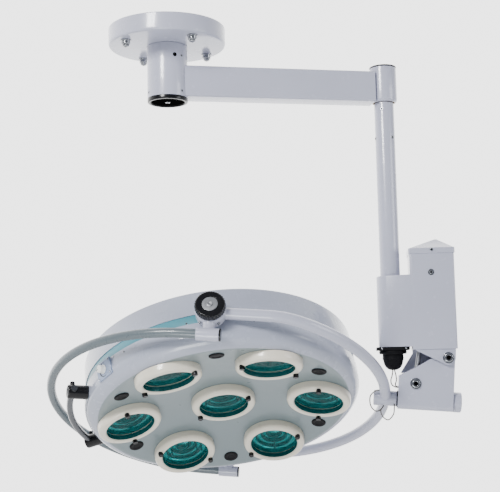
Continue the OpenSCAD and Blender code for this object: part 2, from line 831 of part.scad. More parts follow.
module lead_wires() {
  color(black) in_drop() translate([0, 0, boot_tip]) {
    swept(smooth(lead_a), wire_r, 6, [0, 1, 0.1]);
    swept(smooth(lead_b), wire_r, 6, [0, 1, 0.1]);
  }
}

// === lift housing ===
module lift_outline(inset) {
  polygon([[-lift_len + inset, lift_low + inset], [lift_right - inset, lift_low + inset], [lift_right - inset, 0],
           [-10, 14.3 - inset], [-40, -4 - inset * 1.2], [-84, -32 - inset * 1.2],
           [-lift_len + inset, -50 - inset * 1.2]]);
}

module lift_housing() {
  color(paint) in_lift() difference() {
    union() {
      difference() {
        intersection() {
          translate([0, lift_half, 0]) rotate([90, 0, 0]) linear_extrude(2 * lift_half) lift_outline(0);
          rotate([90, 0, 90]) translate([0, 0, -lift_len - 1]) linear_extrude(lift_len + lift_right + 2)
            round_rect(-lift_half, lift_half, lift_low, -lift_low, lift_low_r);
        }
        translate([0, lift_half - lift_wall, 0]) rotate([90, 0, 0]) linear_extrude(2 * (lift_half - lift_wall))
          lift_outline(lift_wall);
        // the rod's way out through the sloping edge
        translate([pin_u - 22, -rod_eye_r - 3, pin_w]) cube([52, 2 * rod_eye_r + 6, 80]);
      }
      bar_y(-lift_boss_half, lift_boss_half, lift_nose_r);
      translate([0, 0, -shaft_drop]) bar_x(-lift_len, lift_right, bearing_r);
    }
    bar_y(-lift_boss_half - 1, lift_boss_half + 1, pivot_r + run_gap);
    translate([pin_u, 0, pin_w]) bar_y(-lift_half - 1, lift_half + 1, pin_r);
    translate([0, 0, -shaft_drop]) bar_x(-lift_len - 1, lift_right + 1, shaft_bush_r);
    // lead hole above the yoke shaft
    translate([0, -4, -shaft_drop + bearing_r + 6]) bar_x(-lift_len - 1, -lift_len + lift_wall + 1, 5);
  }
}

module rod_pin() {
  color(steel) in_lift() translate([pin_u, 0, pin_w]) {
    bar_y(-lift_half - 2, lift_half + 10, pin_r);
    for (side = [-1, 1]) difference() {
      translate([0, side * (lift_half + 1), 0]) bar_y(-1, 1, 14);
      bar_y(-lift_half - 9, lift_half + 9, pin_r);
    }
    translate([0, -lift_half - 2, 0]) rotate([90, 0, 0]) screw(10.5, 7, pin_r, 0.5);
    difference() {
      translate([0, lift_half + 2, 0]) rotate([-90, 0, 0]) cylinder(h = 7, r = 12, $fn = 6);
      bar_y(lift_half, lift_half + 20, pin_r);
    }
  }
}

module shaft_bushes() {
  color(brass) in_lift() translate([0, 0, -shaft_drop]) for (u = [-lift_len, lift_right - shaft_bush_h]) difference() {
    bar_x(u, u + shaft_bush_h, shaft_bush_r);
    bar_x(u - 1, u + shaft_bush_h + 1, shaft_r + run_gap);
  }
}

module shaft_seal() {
  color(black) in_lift() translate([0, 0, -shaft_drop]) difference() {
    bar_x(-lift_len - seal_t, -lift_len, seal_r);
    bar_x(-lift_len - seal_t - 1, -lift_len + 1, shaft_r + run_gap);
  }
}

// === yoke ===
// offset from the yoke frame's origin to the lift frame's u = 0 along the shaft
shaft_zero = -yoke_u;

module yoke_shaft() {
  color(steel) in_yoke() bar_x(yoke_reach + yoke_r + 1, shaft_zero + lift_right + end_cap_gap + end_cap_t - 5, shaft_r);
}

module shaft_end_cap() {
  x0 = shaft_zero + lift_right + end_cap_gap;
  color(paint) in_yoke() difference() {
    rotate([0, 90, 0]) translate([0, 0, x0]) rotate_extrude() {
      square([end_cap_r, end_cap_t - 4]);
      translate([0, end_cap_t - 4 - tiny]) square([end_cap_r - 4, 4]);
      translate([end_cap_r - 4, end_cap_t - 4]) circle(r = 4);
    }
    bar_x(x0 - 1, x0 + end_cap_t - 5, shaft_r);
    // clamp slot
    translate([x0 + 3, -3, -end_cap_r - 1]) cube([9, 6, 8]);
  }
}

// the yoke tube: one wide arc, a tighter bend at each end and a straight into each boss
module yoke_tube() {
  color(paint) in_yoke() {
    translate([yoke_arc_x, 0, 0]) rotate([0, 0, -yoke_main_deg]) rotate_extrude(angle = 2 * yoke_main_deg)
      translate([yoke_arc_r, 0]) circle(r = yoke_r);
    for (side = [-1, 1]) translate([yoke_bend_x, side * yoke_bend_y, 0]) {
      rotate([0, 0, side > 0 ? yoke_main_deg : -90]) rotate_extrude(angle = 90 - yoke_main_deg)
        translate([yoke_bend_r, 0]) circle(r = yoke_r);
    }
    for (side = [-1, 1]) translate([0, side * yoke_end_y, 0]) bar_x(tube_end_x, yoke_bend_x, yoke_r);
    // dressed welds where the bends begin and end
    for (side = [-1, 1]) {
      translate([yoke_arc_x, 0, 0]) rotate([0, 0, side * yoke_main_deg]) translate([yoke_arc_r, 0, 0])
        bar_y(-weld_half, weld_half, yoke_r + weld_proud);
      translate([yoke_bend_x, side * yoke_end_y, 0]) bar_x(-weld_half, weld_half, yoke_r + weld_proud);
    }
  }
}
weld_half = 1.5;
weld_proud = 0.3;
tube_end_x = tilt_bush_r + 6;

module yoke_hub() {
  color(paint) in_yoke() difference() {
    bar_x(yoke_reach - hub_half, yoke_reach + hub_half, hub_tube_r);
    translate([yoke_arc_x, 0, 0]) rotate([0, 0, -10]) rotate_extrude(angle = 20)
      translate([yoke_arc_r, 0]) circle(r = yoke_r);
    bar_x(yoke_reach + yoke_r + 1, yoke_reach + hub_half + 1, shaft_r);
  }
}

// knuckle casting: round boss on the tilt axis, a socket for the yoke tube, and a sleeve for the guard ring
module knuckle() {
  difference() {
    union() {
      bar_y(-knuckle_outer, -knuckle_inner, knuckle_r);
      translate([0, -knuckle_inner - knuckle_t / 2, -ring_drop]) cylinder(h = ring_drop, r = neck_r);
      translate([0, -ring_y, -ring_drop]) bar_x(-sleeve_half, sleeve_half, sleeve_r);
    }
    bar_y(-knuckle_outer - 20, -knuckle_inner + 1, tilt_bush_r);
    translate([0, -ring_y, -ring_drop]) bar_x(-sleeve_half - 1, sleeve_half + 1, ring_r);
    translate([0, -yoke_end_y, 0]) bar_x(tube_end_x, knuckle_r + 10, yoke_r);
    knuckle_screw_spots() translate([0, 0, -8]) cylinder(h = 16, r = 2);
  }
}
module knuckle_near() { color(paint) in_yoke() knuckle(); }
module knuckle_far() { color(paint) in_yoke() mirror([0, 1, 0]) knuckle(); }

// grub screws on the boss's lower rim, local Z outwards
module knuckle_screw_spots() {
  for (a = [-35, 35]) translate([0, -knuckle_inner - knuckle_t * 0.5, 0]) rotate([0, 180 + a, 0])
    translate([0, 0, knuckle_r]) children();
}

module knuckle_screws() {
  color(steel) in_yoke() both_ends() knuckle_screw_spots() {
    translate([0, 0, -8]) cylinder(h = 9, r = 2);
    translate([0, 0, 0.3]) cylinder(h = 3, r = 4);
  }
}

module tilt_bushes() {
  color(brass) in_yoke() both_ends() difference() {
    bar_y(-knuckle_outer, -knuckle_inner, tilt_bush_r);
    bar_y(-knuckle_outer - 1, -knuckle_inner + 1, tilt_r + run_gap);
  }
}

// half ring from knuckle to knuckle round the handle side
module guard_ring() {
  color(paint) in_yoke() translate([0, 0, -ring_drop]) {
    translate([-ring_straight, 0, 0]) rotate([0, 0, 90]) rotate_extrude(angle = 180)
      translate([ring_y, 0]) circle(r = ring_r);
    both_ends() translate([0, -ring_y, 0]) bar_x(-ring_straight, sleeve_half, ring_r);
  }
}

module ring_plugs() {
  color(black) in_yoke() translate([0, 0, -ring_drop]) both_ends() translate([0, -ring_y, 0])
    bar_x(sleeve_half, sleeve_half + plug_t, sleeve_r);
}

module hub_wires() {
  color(black) in_yoke() translate([yoke_reach, 0, 0]) {
    swept(smooth(hub_loop_a), wire_r, 6, [0.2, 1, 0.1]);
    swept(smooth(hub_loop_b), wire_r, 6, [0.2, 1, 0.1]);
  }
}

// === brake knobs ===
module brake_knob() {
  difference() {
    union() {
      bar_y(-knob_start - knob_t, -knob_start, knob_r - 1.2);
      for (k = [0 : knob_flutes - 1]) rotate([0, 360 * k / knob_flutes, 0]) translate([knob_r - 2, 0, 0])
        bar_y(-knob_start - knob_t + 1.5, -knob_start - 2, 2);
    }
    bar_y(-knob_start - knob_t + 4, 0, knob_stub_r + run_gap);
    bar_y(-knob_start - knob_t - 1, -knob_start - knob_t + 2, knob_r * 0.52);
  }
}
module brake_knob_near() { color(black) in_yoke() brake_knob(); }
module brake_knob_far() { color(black) in_yoke() mirror([0, 1, 0]) brake_knob(); }

// === lamp head ===
module tilt_pins() {
  color(steel) in_head() both_ends() {
    bar_y(-knuckle_outer, -frame_r + pin_block_l - 6, tilt_r);
    bar_y(-knob_start - knob_t + 6, -knuckle_outer + tiny, knob_stub_r);
    // thrust collar between the head and the boss
    difference() {
      bar_y(-knuckle_inner + face_gap, -head_r - 1, tilt_r + 8);
      bar_y(-knuckle_inner, -head_r, tilt_r);
    }
  }
}

module head_frame() {
  color(steel) in_head() difference() {
    union() {
      pipe(band_low - 8, frame_top, frame_r, frame_r - frame_wall);
      // lower flange inside the front shell, upper flange inside the back shell
      pipe(band_low - 8, band_low - 4, head_r - shell_t, frame_r - frame_wall);
      pipe(frame_top - frame_t, frame_top, back_r - shell_t, reflector_r + 8);
      both_ends() translate([-pin_block_w / 2, -frame_r + 1, frame_top - pin_block_h])
        cube([pin_block_w, pin_block_l, pin_block_h]);
      // bridge that carries the middle lamp unit
      for (x = [-1, 1]) translate([x * (reflector_r + 16) - 6, -15, frame_top - 1]) cube([12, 30, bridge_z - frame_top + 1]);
      translate([-reflector_r - 22, -15, bridge_z]) cube([2 * reflector_r + 44, 30, frame_t]);
    }
    bar_y(-frame_r - 10, frame_r + 10, tilt_r);
    disc(bridge_z - 1, bridge_z + frame_t + 1, neck_hole_r + 0.5);
    for (k = [0 : 5]) on_dish(lens_pitch_r, 30 + 60 * k) disc(30, 110, neck_hole_r + 4);
  }
}

// half section of the back shell's outside, moved in by inset
module back_section(inset) {
  crown_r = (back_r * back_r + back_crown * back_crown) / (2 * back_crown);
  intersection() {
    translate([0, band_top - inset]) square([back_r - inset, back_side + back_crown + 2 * inset + 1]);
    translate([0, back_top + back_crown - crown_r]) circle(r = crown_r - inset, $fn = 1440);
  }
}

module back_shell() {
  color(paint) in_head() difference() {
    rotate_extrude() difference() {
      back_section(0);
      back_section(shell_t);
    }
    bar_y(-back_r - 5, back_r + 5, tilt_r);
  }
}

module seam_band() {
  color(teal) in_head() difference() {
    pipe(band_low, band_top, band_r, band_r - shell_t);
    bar_y(-band_r - 10, band_r + 10, tilt_r);
  }
}

// half section of the front shell's outside, moved in by inset
module front_section(inset) {
  difference() {
    union() {
      translate([0, front_low + inset]) square([edge_x, -front_low + band_low - inset + (inset > 0 ? 1 : 0)]);
      translate([0, band_low - front_side])
        square([head_r - inset, front_side + (inset > 0 ? 1 : 0)]);
      intersection() {
        translate([edge_x, band_low - front_side]) circle(r = front_edge_r - inset);
        translate([edge_x - 1, front_low]) square([front_edge_r + 2, front_edge_r + 1]);
      }
    }
    translate([0, focal_z]) circle(r = focal_r + inset, $fn = 720);
  }
}

module front_shell() {
  color(paint) in_head() difference() {
    rotate_extrude() difference() {
      front_section(0);
      front_section(shell_t);
    }
    each_lens() disc(-20, 20, lens_hole_r);
    plug_spots() disc(-20, 20, plug_d / 2 - 4);
    thumb_spots() cylinder(h = 60, r = thumb_stem_r + 0.3, center = true);
  }
}

// two thumb screws on each lamp unit, either side along its tangent
module thumb_spots() {
  each_lens() for (side = [-1, 1]) translate([0, side * thumb_pitch, 0]) children();
}
module plug_spots() { for (k = [0 : 5]) on_dish(plug_pitch_r, 60 * k) children(); }

// bezel standing on the dished face, with a collar that goes in through the shell
module bezels() {
  color(cream) in_head() difference() {
    each_lens() rotate_extrude() difference() {
      union() {
        // the foot follows the curve of the dished face
        intersection() {
          union() {
            translate([0, -bezel_h]) square([bezel_r - bezel_round, bezel_h]);
            translate([0, -bezel_h + bezel_round]) square([bezel_r, bezel_h - bezel_round]);
            translate([bezel_r - bezel_round, -bezel_h + bezel_round]) circle(r = bezel_round);
          }
          translate([0, -focal_r]) circle(r = focal_r, $fn = 1440);
        }
        translate([0, -bezel_seat - 2]) square([lens_hole_r - 0.2, bezel_seat + 2 + collar_top]);
      }
      translate([-1, -bezel_h - 1]) square([lens_open_d / 2 + 1, bezel_h * 3]);
      translate([-1, glass_low]) square([glass_r + 1, bezel_h * 3]);
    }
    thumb_spots() {
      cylinder(h = 60, r = thumb_stem_r + 0.1, center = true);
      disc(-bezel_h - 9, -bezel_h + 2, thumb_r);
    }
  }
}

module filter_glasses() {
  color(teal, 0.6) in_head() each_lens() disc(glass_low, glass_low + glass_t, glass_r);
}

module reflectors() {
  color("powderblue") in_head() each_lens() translate([0, 0, reflector_low]) rotate_extrude() difference() {
    union() {
      circle(r = reflector_r);
      square([reflector_r + 2.5, 2]);
    }
    circle(r = reflector_r - reflector_t);
    translate([-reflector_r - 5, -reflector_r - 5]) square([reflector_r + 5, 2 * reflector_r + 10]);
    translate([0, -reflector_r - 5]) square([reflector_r + 5, reflector_r + 5]);
    translate([0, reflector_r / 2]) square([socket_r, reflector_r]);
  }
}

module lamp_sockets() {
  z = reflector_low + reflector_r - 8;
  color(cream) in_head() each_lens() difference() {
    disc(z, z + socket_len, socket_r);
    disc(z - 1, z + 8, 5);
  }
}

module bulbs() {
  z = reflector_low + reflector_r - 8;
  color("ivory") in_head() each_lens() {
    disc(z - 26, z + 8, 5);
    translate([0, 0, z - 26]) sphere(r = 5);
  }
}

module thumb_screws() {
  color(black) in_head() thumb_spots() {
    disc(-bezel_h - thumb_h + 2, -bezel_h + 2, thumb_r);
    disc(-bezel_h, 4, thumb_stem_r);
  }
}

module vent_plugs() {
  r = plug_d / 2;
  seat = focal_r - sqrt(focal_r * focal_r - r * r) + 0.02;
  color(black) in_head() plug_spots() {
    disc(-3.4, -seat, r);
    disc(-seat - tiny, 7, r - 4);
  }
}

module handle_path(r) {
  translate([0, 0, handle_z]) rotate([0, 0, 180 - handle_spread]) rotate_extrude(angle = 2 * handle_spread)
    translate([handle_arc_r, 0]) circle(r = r);
}
// each bracket's own frame: X outwards from the head's axis
module bracket_spots() {
  for (a = [-handle_spread + 3, handle_spread - 3]) rotate([0, 0, 180 + a]) translate([0, 0, handle_z]) children();
}

module handle_bar() { color("dimgray") in_head() handle_path(handle_r); }

module handle_brackets() {
  color(black) in_head() difference() {
    bracket_spots() {
      bar_x(head_r - 3, handle_arc_r + handle_r + 5, bracket_r);
      translate([handle_arc_r, 0, bracket_r - 2]) cylinder(h = 11, r = clamp_knob_r);
    }
    handle_path(handle_r);
    rotate_extrude() front_section(0);
  }
}

// frame of the flat switch plate on the front shell's side, X outwards
module switch_frame() {
  rotate([0, 0, -switch_angle - 90]) translate([head_r, 0, switch_z]) rotate([0, switch_lean, 0]) children();
}
module switch_plate() {
  color("lightsteelblue") in_head() difference() {
    switch_frame() difference() {
      translate([-8, -switch_w / 2, -switch_h / 2]) cube([switch_t + 8, switch_w, switch_h]);
      bar_x(-9, switch_t + 1, dimmer_stem_r + run_gap);
    }
    rotate_extrude($fn = 360) front_section(0);
  }
}
module dimmer_knob() {
  x0 = switch_t + face_gap;
  color("whitesmoke") in_head() switch_frame() {
    difference() {
      bar_x(x0, x0 + dimmer_len, dimmer_r);
      translate([x0 + dimmer_len - 1.5, -1, 0]) cube([3, 2, dimmer_r + 1]);
    }
    bar_x(1, x0 + tiny, dimmer_stem_r);
  }
}

ceiling_flange();
flange_nuts();
ceiling_spindle();
spindle_nut();
column_tube();
column_bushes();
column_cap();
column_screws();
arm_beam();
outer_hub();
hub_cap();
hub_bushes();
drop_spigot();
spigot_nut();
drop_tube();
tube_screws();
balance_bracket();
balance_cover();
balance_lid();
cover_screws();
spring_seat();
cable_boot();
pivot_bolt();
balance_spring();
lead_wires();
spring_rod();
rod_nut();
lift_housing();
rod_pin();
shaft_bushes();
shaft_seal();
yoke_shaft();
yoke_hub();
yoke_tube();
shaft_end_cap();
knuckle_near();
knuckle_far();
guard_ring();
ring_plugs();
knuckle_screws();
tilt_bushes();
hub_wires();
brake_knob_near();
brake_knob_far();
tilt_pins();
head_frame();
back_shell();
seam_band();
front_shell();
bezels();
filter_glasses();
reflectors();
lamp_sockets();
bulbs();
thumb_screws();
vent_plugs();
handle_bar();
handle_brackets();
switch_plate();
dimmer_knob();
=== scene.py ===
import bpy
import numpy as np
from mathutils import Matrix, Vector


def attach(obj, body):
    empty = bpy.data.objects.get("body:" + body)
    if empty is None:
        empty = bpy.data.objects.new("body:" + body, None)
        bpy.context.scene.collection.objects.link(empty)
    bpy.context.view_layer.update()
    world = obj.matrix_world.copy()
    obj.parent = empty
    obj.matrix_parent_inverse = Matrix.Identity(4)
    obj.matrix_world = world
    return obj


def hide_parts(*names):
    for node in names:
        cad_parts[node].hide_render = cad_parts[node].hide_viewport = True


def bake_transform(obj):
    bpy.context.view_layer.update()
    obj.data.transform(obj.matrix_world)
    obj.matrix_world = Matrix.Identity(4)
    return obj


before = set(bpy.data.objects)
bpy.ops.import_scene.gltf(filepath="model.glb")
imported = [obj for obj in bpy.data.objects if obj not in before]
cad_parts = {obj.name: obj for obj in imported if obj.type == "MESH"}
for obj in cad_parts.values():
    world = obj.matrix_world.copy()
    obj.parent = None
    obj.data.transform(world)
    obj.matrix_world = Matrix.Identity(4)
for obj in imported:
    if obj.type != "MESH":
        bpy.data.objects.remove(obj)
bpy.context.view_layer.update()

# === Camera ===
# Stands in front of the lamp and a little below it, and looks
# slightly up, as a person under the light would see it.
pitch, yaw, tip = np.radians([6.824, 10.894, -1.25])
ahead = np.array([np.sin(yaw) * np.cos(pitch), np.cos(yaw) * np.cos(pitch), np.sin(pitch)])
side = np.array([np.cos(yaw), -np.sin(yaw), 0.0])
over = np.cross(side, ahead)
camera_at = np.eye(4)
camera_at[:3, 0] = np.cos(tip) * side + np.sin(tip) * over
camera_at[:3, 1] = -np.sin(tip) * side + np.cos(tip) * over
camera_at[:3, 2] = -ahead
camera_at[:3, 3] = -0.31414, -2.66824, -0.86764
camera = bpy.data.objects.new("camera", bpy.data.cameras.new("camera"))
bpy.context.scene.collection.objects.link(camera)
camera.matrix_world = Matrix(camera_at.tolist())
camera.data.lens = 79.7
camera.data.sensor_width = 36.0
camera.data.sensor_fit = "HORIZONTAL"
camera.data.clip_end = 60
bpy.context.scene.camera = camera


# === Leads ===
# Thin sheathed leads: two run from the tip of the cable boot to a hole
# above the yoke shaft, and two short loops leave the yoke hub and go
# back into it. Their ends are pressed into the rubber and into the tube.
def turn(axis, degrees):
    """4x4 rotation by the right-hand rule about axis 0, 1 or 2."""
    a = np.radians(degrees)
    m = np.eye(4)
    i, j = (axis + 1) % 3, (axis + 2) % 3
    m[i, i], m[i, j], m[j, i], m[j, j] = np.cos(a), -np.sin(a), np.sin(a), np.cos(a)
    return m


def shift(x, y, z):
    """4x4 translation in millimetres."""
    m = np.eye(4)
    m[:3, 3] = x, y, z
    return m


def moved(frame4, points):
    """Points taken from a local frame to the object's frame: p' = R p + t."""
    return np.asarray(points, float) @ frame4[:3, :3].T + frame4[:3, 3]


# the drop tube is swivelled, the lift housing lifted and the yoke rolled by these angles at rest
HUB = shift(558, 0, 0)
DROP = HUB @ turn(2, -15.6)
LIFT = DROP @ shift(133, 0, -827.5) @ turn(1, 4.64)
YOKE = LIFT @ shift(-558.8, 0, -108) @ turn(0, -28.4)


class Field:
    """A shader value: arithmetic on it adds Math nodes, and node() adds any other node."""

    def __init__(self, owner, socket):
        self.owner, self.socket = owner, socket

    def node(self, kind, inputs=(), out=0, **settings):
        made = self.owner.node_tree.nodes.new(kind)
        for name, value in settings.items():
            setattr(made, name, value)
        for slot, value in dict(inputs).items():
            if isinstance(value, Field):
                self.owner.node_tree.links.new(value.socket, made.inputs[slot])
            else:
                made.inputs[slot].default_value = value
        return Field(self.owner, made.outputs[out])

    def __add__(self, other):
        return self.node("ShaderNodeMath", {0: self, 1: other}, operation="ADD")

    def __mul__(self, other):
        return self.node("ShaderNodeMath", {0: self, 1: other}, operation="MULTIPLY")

    __radd__, __rmul__ = __add__, __mul__

    def noise(self, scale, detail=3.0, rough=0.5):
        return self.node("ShaderNodeTexNoise",
                         {"Vector": self, "Scale": scale, "Detail": detail, "Roughness": rough})

    def mask(self, low, high):
        return self.node("ShaderNodeMapRange", {0: self, 1: low, 2: high, 3: 0.0, 4: 1.0})

    def colours(self, a, b):
        return self.node("ShaderNodeMix", {0: self, 6: (*a, 1), 7: (*b, 1)}, out=2, data_type="RGBA")

    def bump(self, strength, distance):
        return self.node("ShaderNodeBump", {"Height": self, "Strength": strength, "Distance": distance})


def finish(name, colour, rough, metal=0.0, coat=0.0, dirt=0.06, grain=0.0, grain_scale=900.0, tint=None,
           alpha=1.0, painted_glow=None, shine=0.5):
    """Surface whose colour drifts to tint in slow clouds, roughness = rough (0.85 + 0.4 smudge),
    grain is a bump, and painted_glow is an emission that paints light on a part that is no lamp."""
    made = bpy.data.materials.new(name)
    made.use_nodes = True
    inputs = made.node_tree.nodes["Principled BSDF"].inputs
    link = made.node_tree.links.new
    spot = Field(made, made.node_tree.nodes.new("ShaderNodeTexCoord").outputs["Object"])
    clouds = spot.noise(5.0, 4.0).mask(0.35, 0.7)
    smudge = spot.noise(38.0, 5.0, 0.6).mask(0.3, 0.75)
    link(clouds.colours(colour, tint or tuple(c * (1 - dirt) for c in colour)).socket, inputs["Base Color"])
    link((rough * (0.85 + 0.4 * smudge)).socket, inputs["Roughness"])
    if grain:
        link(spot.noise(grain_scale, 2.0).bump(grain, 0.0004).socket, inputs["Normal"])
    inputs["Metallic"].default_value = metal
    inputs["Coat Weight"].default_value = coat
    inputs["Coat Roughness"].default_value = 0.06
    inputs["Specular IOR Level"].default_value = shine
    inputs["Alpha"].default_value = alpha
    # painted glow: an emission that paints light on a part that is no lamp
    if painted_glow:
        inputs["Emission Color"].default_value = (*painted_glow, 1)
        inputs["Emission Strength"].default_value = 0.6
    return made


LEAD = finish("lead_sheath", (0.10, 0.09, 0.075), 0.45, dirt=0.25)


class Shape:
    """A mesh in arrays: points, the corners of all faces in a row, and how many corners each face has."""

    def __init__(self, points, corners, sizes):
        self.points = np.asarray(points, float)
        self.corners, self.sizes = np.asarray(corners), np.asarray(sizes)

    def at(self, frame4):
        """The shape taken to the object's frame."""
        return Shape(moved(frame4, self.points), self.corners, self.sizes)

    def turned(self):
        """The shape with every face the other way round: all corners in reverse order."""
        return Shape(self.points, self.corners[::-1], self.sizes[::-1])

    def centres(self):
        """Mean of each face's corners."""
        starts = np.concatenate([[0], np.cumsum(self.sizes)[:-1]])
        return np.add.reduceat(self.points[self.corners], starts) / self.sizes[:, None]

    def kept(self, wanted):
        """The shape with only the faces that are wanted."""
        return Shape(self.points, self.corners[np.repeat(wanted, self.sizes)], self.sizes[wanted])


def piece(name, shapes, material, body, nodes=(), sharp=38.0):
    """Joins the shapes, in millimetres, into one piece on a body, and hides the CAD nodes it stands for."""
    counts = np.cumsum([0] + [len(s.points) for s in shapes])
    points = np.vstack([s.points for s in shapes]) * 0.001
    corners = np.concatenate([s.corners + n for s, n in zip(shapes, counts)])
    sizes = np.concatenate([s.sizes for s in shapes])
    mesh = bpy.data.meshes.new(name)
    mesh.vertices.add(len(points))
    mesh.vertices.foreach_set("co", points.ravel())
    mesh.loops.add(len(corners))
    mesh.loops.foreach_set("vertex_index", corners)
    mesh.polygons.add(len(sizes))
    mesh.polygons.foreach_set("loop_start", np.concatenate([[0], np.cumsum(sizes)[:-1]]))
    mesh.update(calc_edges=True)
    mesh.shade_smooth()
    mesh.set_sharp_from_angle(angle=np.radians(sharp))
    made = bpy.data.objects.new(name, mesh)
    bpy.context.scene.collection.objects.link(made)
    for m in material if isinstance(material, tuple) else (material,):
        mesh.materials.append(m)
    if body:
        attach(made, body)
    if nodes:
        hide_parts(*nodes)
    return made


def skin(grid, caps=True):
    """Quads between the rings of a grid (ring, point, xyz), each ring closed on itself, with a face
    on each end."""
    rings, n = grid.shape[:2]
    index = np.arange(rings * n).reshape(rings, n)
    ahead_one = np.roll(index, -1, 1)
    quads = np.stack([index[:-1], ahead_one[:-1], ahead_one[1:], index[1:]], 2).reshape(-1)
    sizes = np.full((rings - 1) * n, 4)
    if caps:
        quads = np.concatenate([quads, index[0][::-1], index[-1]])
        sizes = np.concatenate([sizes, [n, n]])
    return Shape(grid.reshape(-1, 3), quads, sizes)


def smooth_path(points, steps=8):
    """Catmull-Rom curve: each span is a cubic through its two points whose slopes are half its
    neighbours' chord."""
    p = np.asarray(points, float)
    q = np.vstack([2 * p[0] - p[1], p, 2 * p[-1] - p[-2]])
    a, b, c, d = q[:-3, None], q[1:-2, None], q[2:-1, None], q[3:, None]
    t = np.linspace(0, 1, steps, endpoint=False)[None, :, None]
    slope, bend, twist = c - a, 2 * a - 5 * b + 4 * c - d, 3 * b - a - 3 * c + d
    spans = b + slope * t / 2 + bend * t * t / 2 + twist * t**3 / 2
    return np.vstack([spans.reshape(-1, 3), p[-1:]])


def sweep(path, radius, sides=20):
    """Tube: ring i is c_i + r_i (cos u a_i + sin u b_i), with a and b square to the path and
    carried along it."""
    p = np.asarray(path, float)
    t = np.gradient(p, axis=0)
    t /= np.linalg.norm(t, axis=1)[:, None]
    across = [np.cross(t[0], [0.31, 0.17, 0.93])]
    for tangent in t:
        a = across[-1] - tangent * (across[-1] @ tangent)
        across.append(a / np.linalg.norm(a))
    a = np.array(across[1:])
    b = np.cross(t, a)
    u = np.linspace(0, 2 * np.pi, sides, endpoint=False)[None, :, None]
    r = np.broadcast_to(radius, len(p))[:, None, None]
    return skin(p[:, None] + r * (np.cos(u) * a[:, None] + np.sin(u) * b[:, None]))


LEAD_R = 1.5
BOOT_TIP = -854.5
boot_tip = DROP @ shift(0, 0, BOOT_TIP)
yoke_hub = YOKE @ shift(410, 0, 0)
routes = {
    "lead_a": (boot_tip, [[-1.8, 0, 2], [-4, -4, -12], [-8, -8, -25], [-6, -9, -36], [3, -7, -42],
                          [13, -5.6, -42.5]]),
    "lead_b": (boot_tip, [[1.8, 0.5, 2], [5, 0, -12], [6, -2, -25], [3, -3, -35], [6, -2.5, -41],
                          [13, -2, -42]]),
    "hub_loop_a": (yoke_hub, [[-12, -34, 3], [-24, -32, 2], [-37, -24, -10], [-35, -11, -29], [-22, -1, -38],
                              [-9, 3, -31], [-3, 4, -19]]),
    "hub_loop_b": (yoke_hub, [[-2, 8, -18], [-9, 9, -30], [-4, 8, -47], [10, 11, -54], [22, 4, -42],
                              [23.5, -5, -27], [23, -5.5, -18.5]]),
}
for label, (start_frame, route) in routes.items():
    crosses_lift = label.startswith("lead")
    path = smooth_path(moved(start_frame, route))
    lead = piece(label, [sweep(path, LEAD_R, 10)], LEAD, None if crosses_lift else "yoke",
                 ["lead_wires" if crosses_lift else "hub_wires"])
    if crosses_lift:
        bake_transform(lead)


# === Ceiling flange ===
# A turned casting, hollow behind, with a rolled lower edge, stove-enamelled
# pale lavender. Four plated domed nuts hold it to the studs in the ceiling.
def rounded(points, radii, closed=False, n=7):
    """Polyline whose corner i is an arc of radius r_i that touches both sides; a straight corner
    stays as it is."""
    p = np.asarray(points, float)
    wanted = np.broadcast_to(radii, len(p))
    out = []
    for i, corner in enumerate(p):
        a, b = p[i - 1] - corner, p[(i + 1) % len(p)] - corner
        la, lb = np.linalg.norm(a), np.linalg.norm(b)
        a, b = a / la, b / lb
        at_end = not closed and i in (0, len(p) - 1)
        if at_end or wanted[i] <= 0 or np.linalg.norm(a + b) < 1e-3:
            out.append(corner[None])
            continue
        half = np.arccos(np.clip(a @ b, -1, 1)) / 2
        cut = min(wanted[i] / np.tan(half), la * 0.49, lb * 0.49)
        r = cut * np.tan(half)
        centre = corner + (a + b) / np.linalg.norm(a + b) * r / np.sin(half)
        s, e = corner + a * cut - centre, corner + b * cut - centre
        sweep_a = np.arccos(np.clip((s @ e) / (r * r), -1, 1))
        t = np.linspace(0, 1, n)[:, None]
        out.append(centre + (np.sin((1 - t) * sweep_a) * s + np.sin(t * sweep_a) * e) / np.sin(sweep_a))
    return np.vstack(out)


def revolve(profile, n=96):
    """Surface of revolution about Z: ring i is (r_i cos u, r_i sin u, z_i), and r = 0 closes it to
    a pole."""
    r, z = np.asarray(profile, float).T
    u = np.linspace(0, 2 * np.pi, n, endpoint=False)
    grid = np.stack([r[:, None] * np.cos(u), r[:, None] * np.sin(u), np.repeat(z[:, None], n, 1)], 2)
    pole = r < 1e-6
    counts = np.where(pole, 1, n)
    index = (np.cumsum(counts) - counts)[:, None] + np.where(pole, 0, 1)[:, None] * np.arange(n)
    ahead_one = np.roll(index, -1, 1)
    quads = np.stack([index[:-1], ahead_one[:-1], ahead_one[1:], index[1:]], 2).reshape(-1, 4)
    corner_kept = np.ones(quads.shape, bool)
    corner_kept[:, 1] = quads[:, 1] != quads[:, 0]
    corner_kept[:, 3] = quads[:, 3] != quads[:, 2]
    real = corner_kept.sum(1) > 2
    own_points = np.arange(n)[None] < counts[:, None]
    return Shape(grid[own_points], quads[real][corner_kept[real]], corner_kept[real].sum(1))


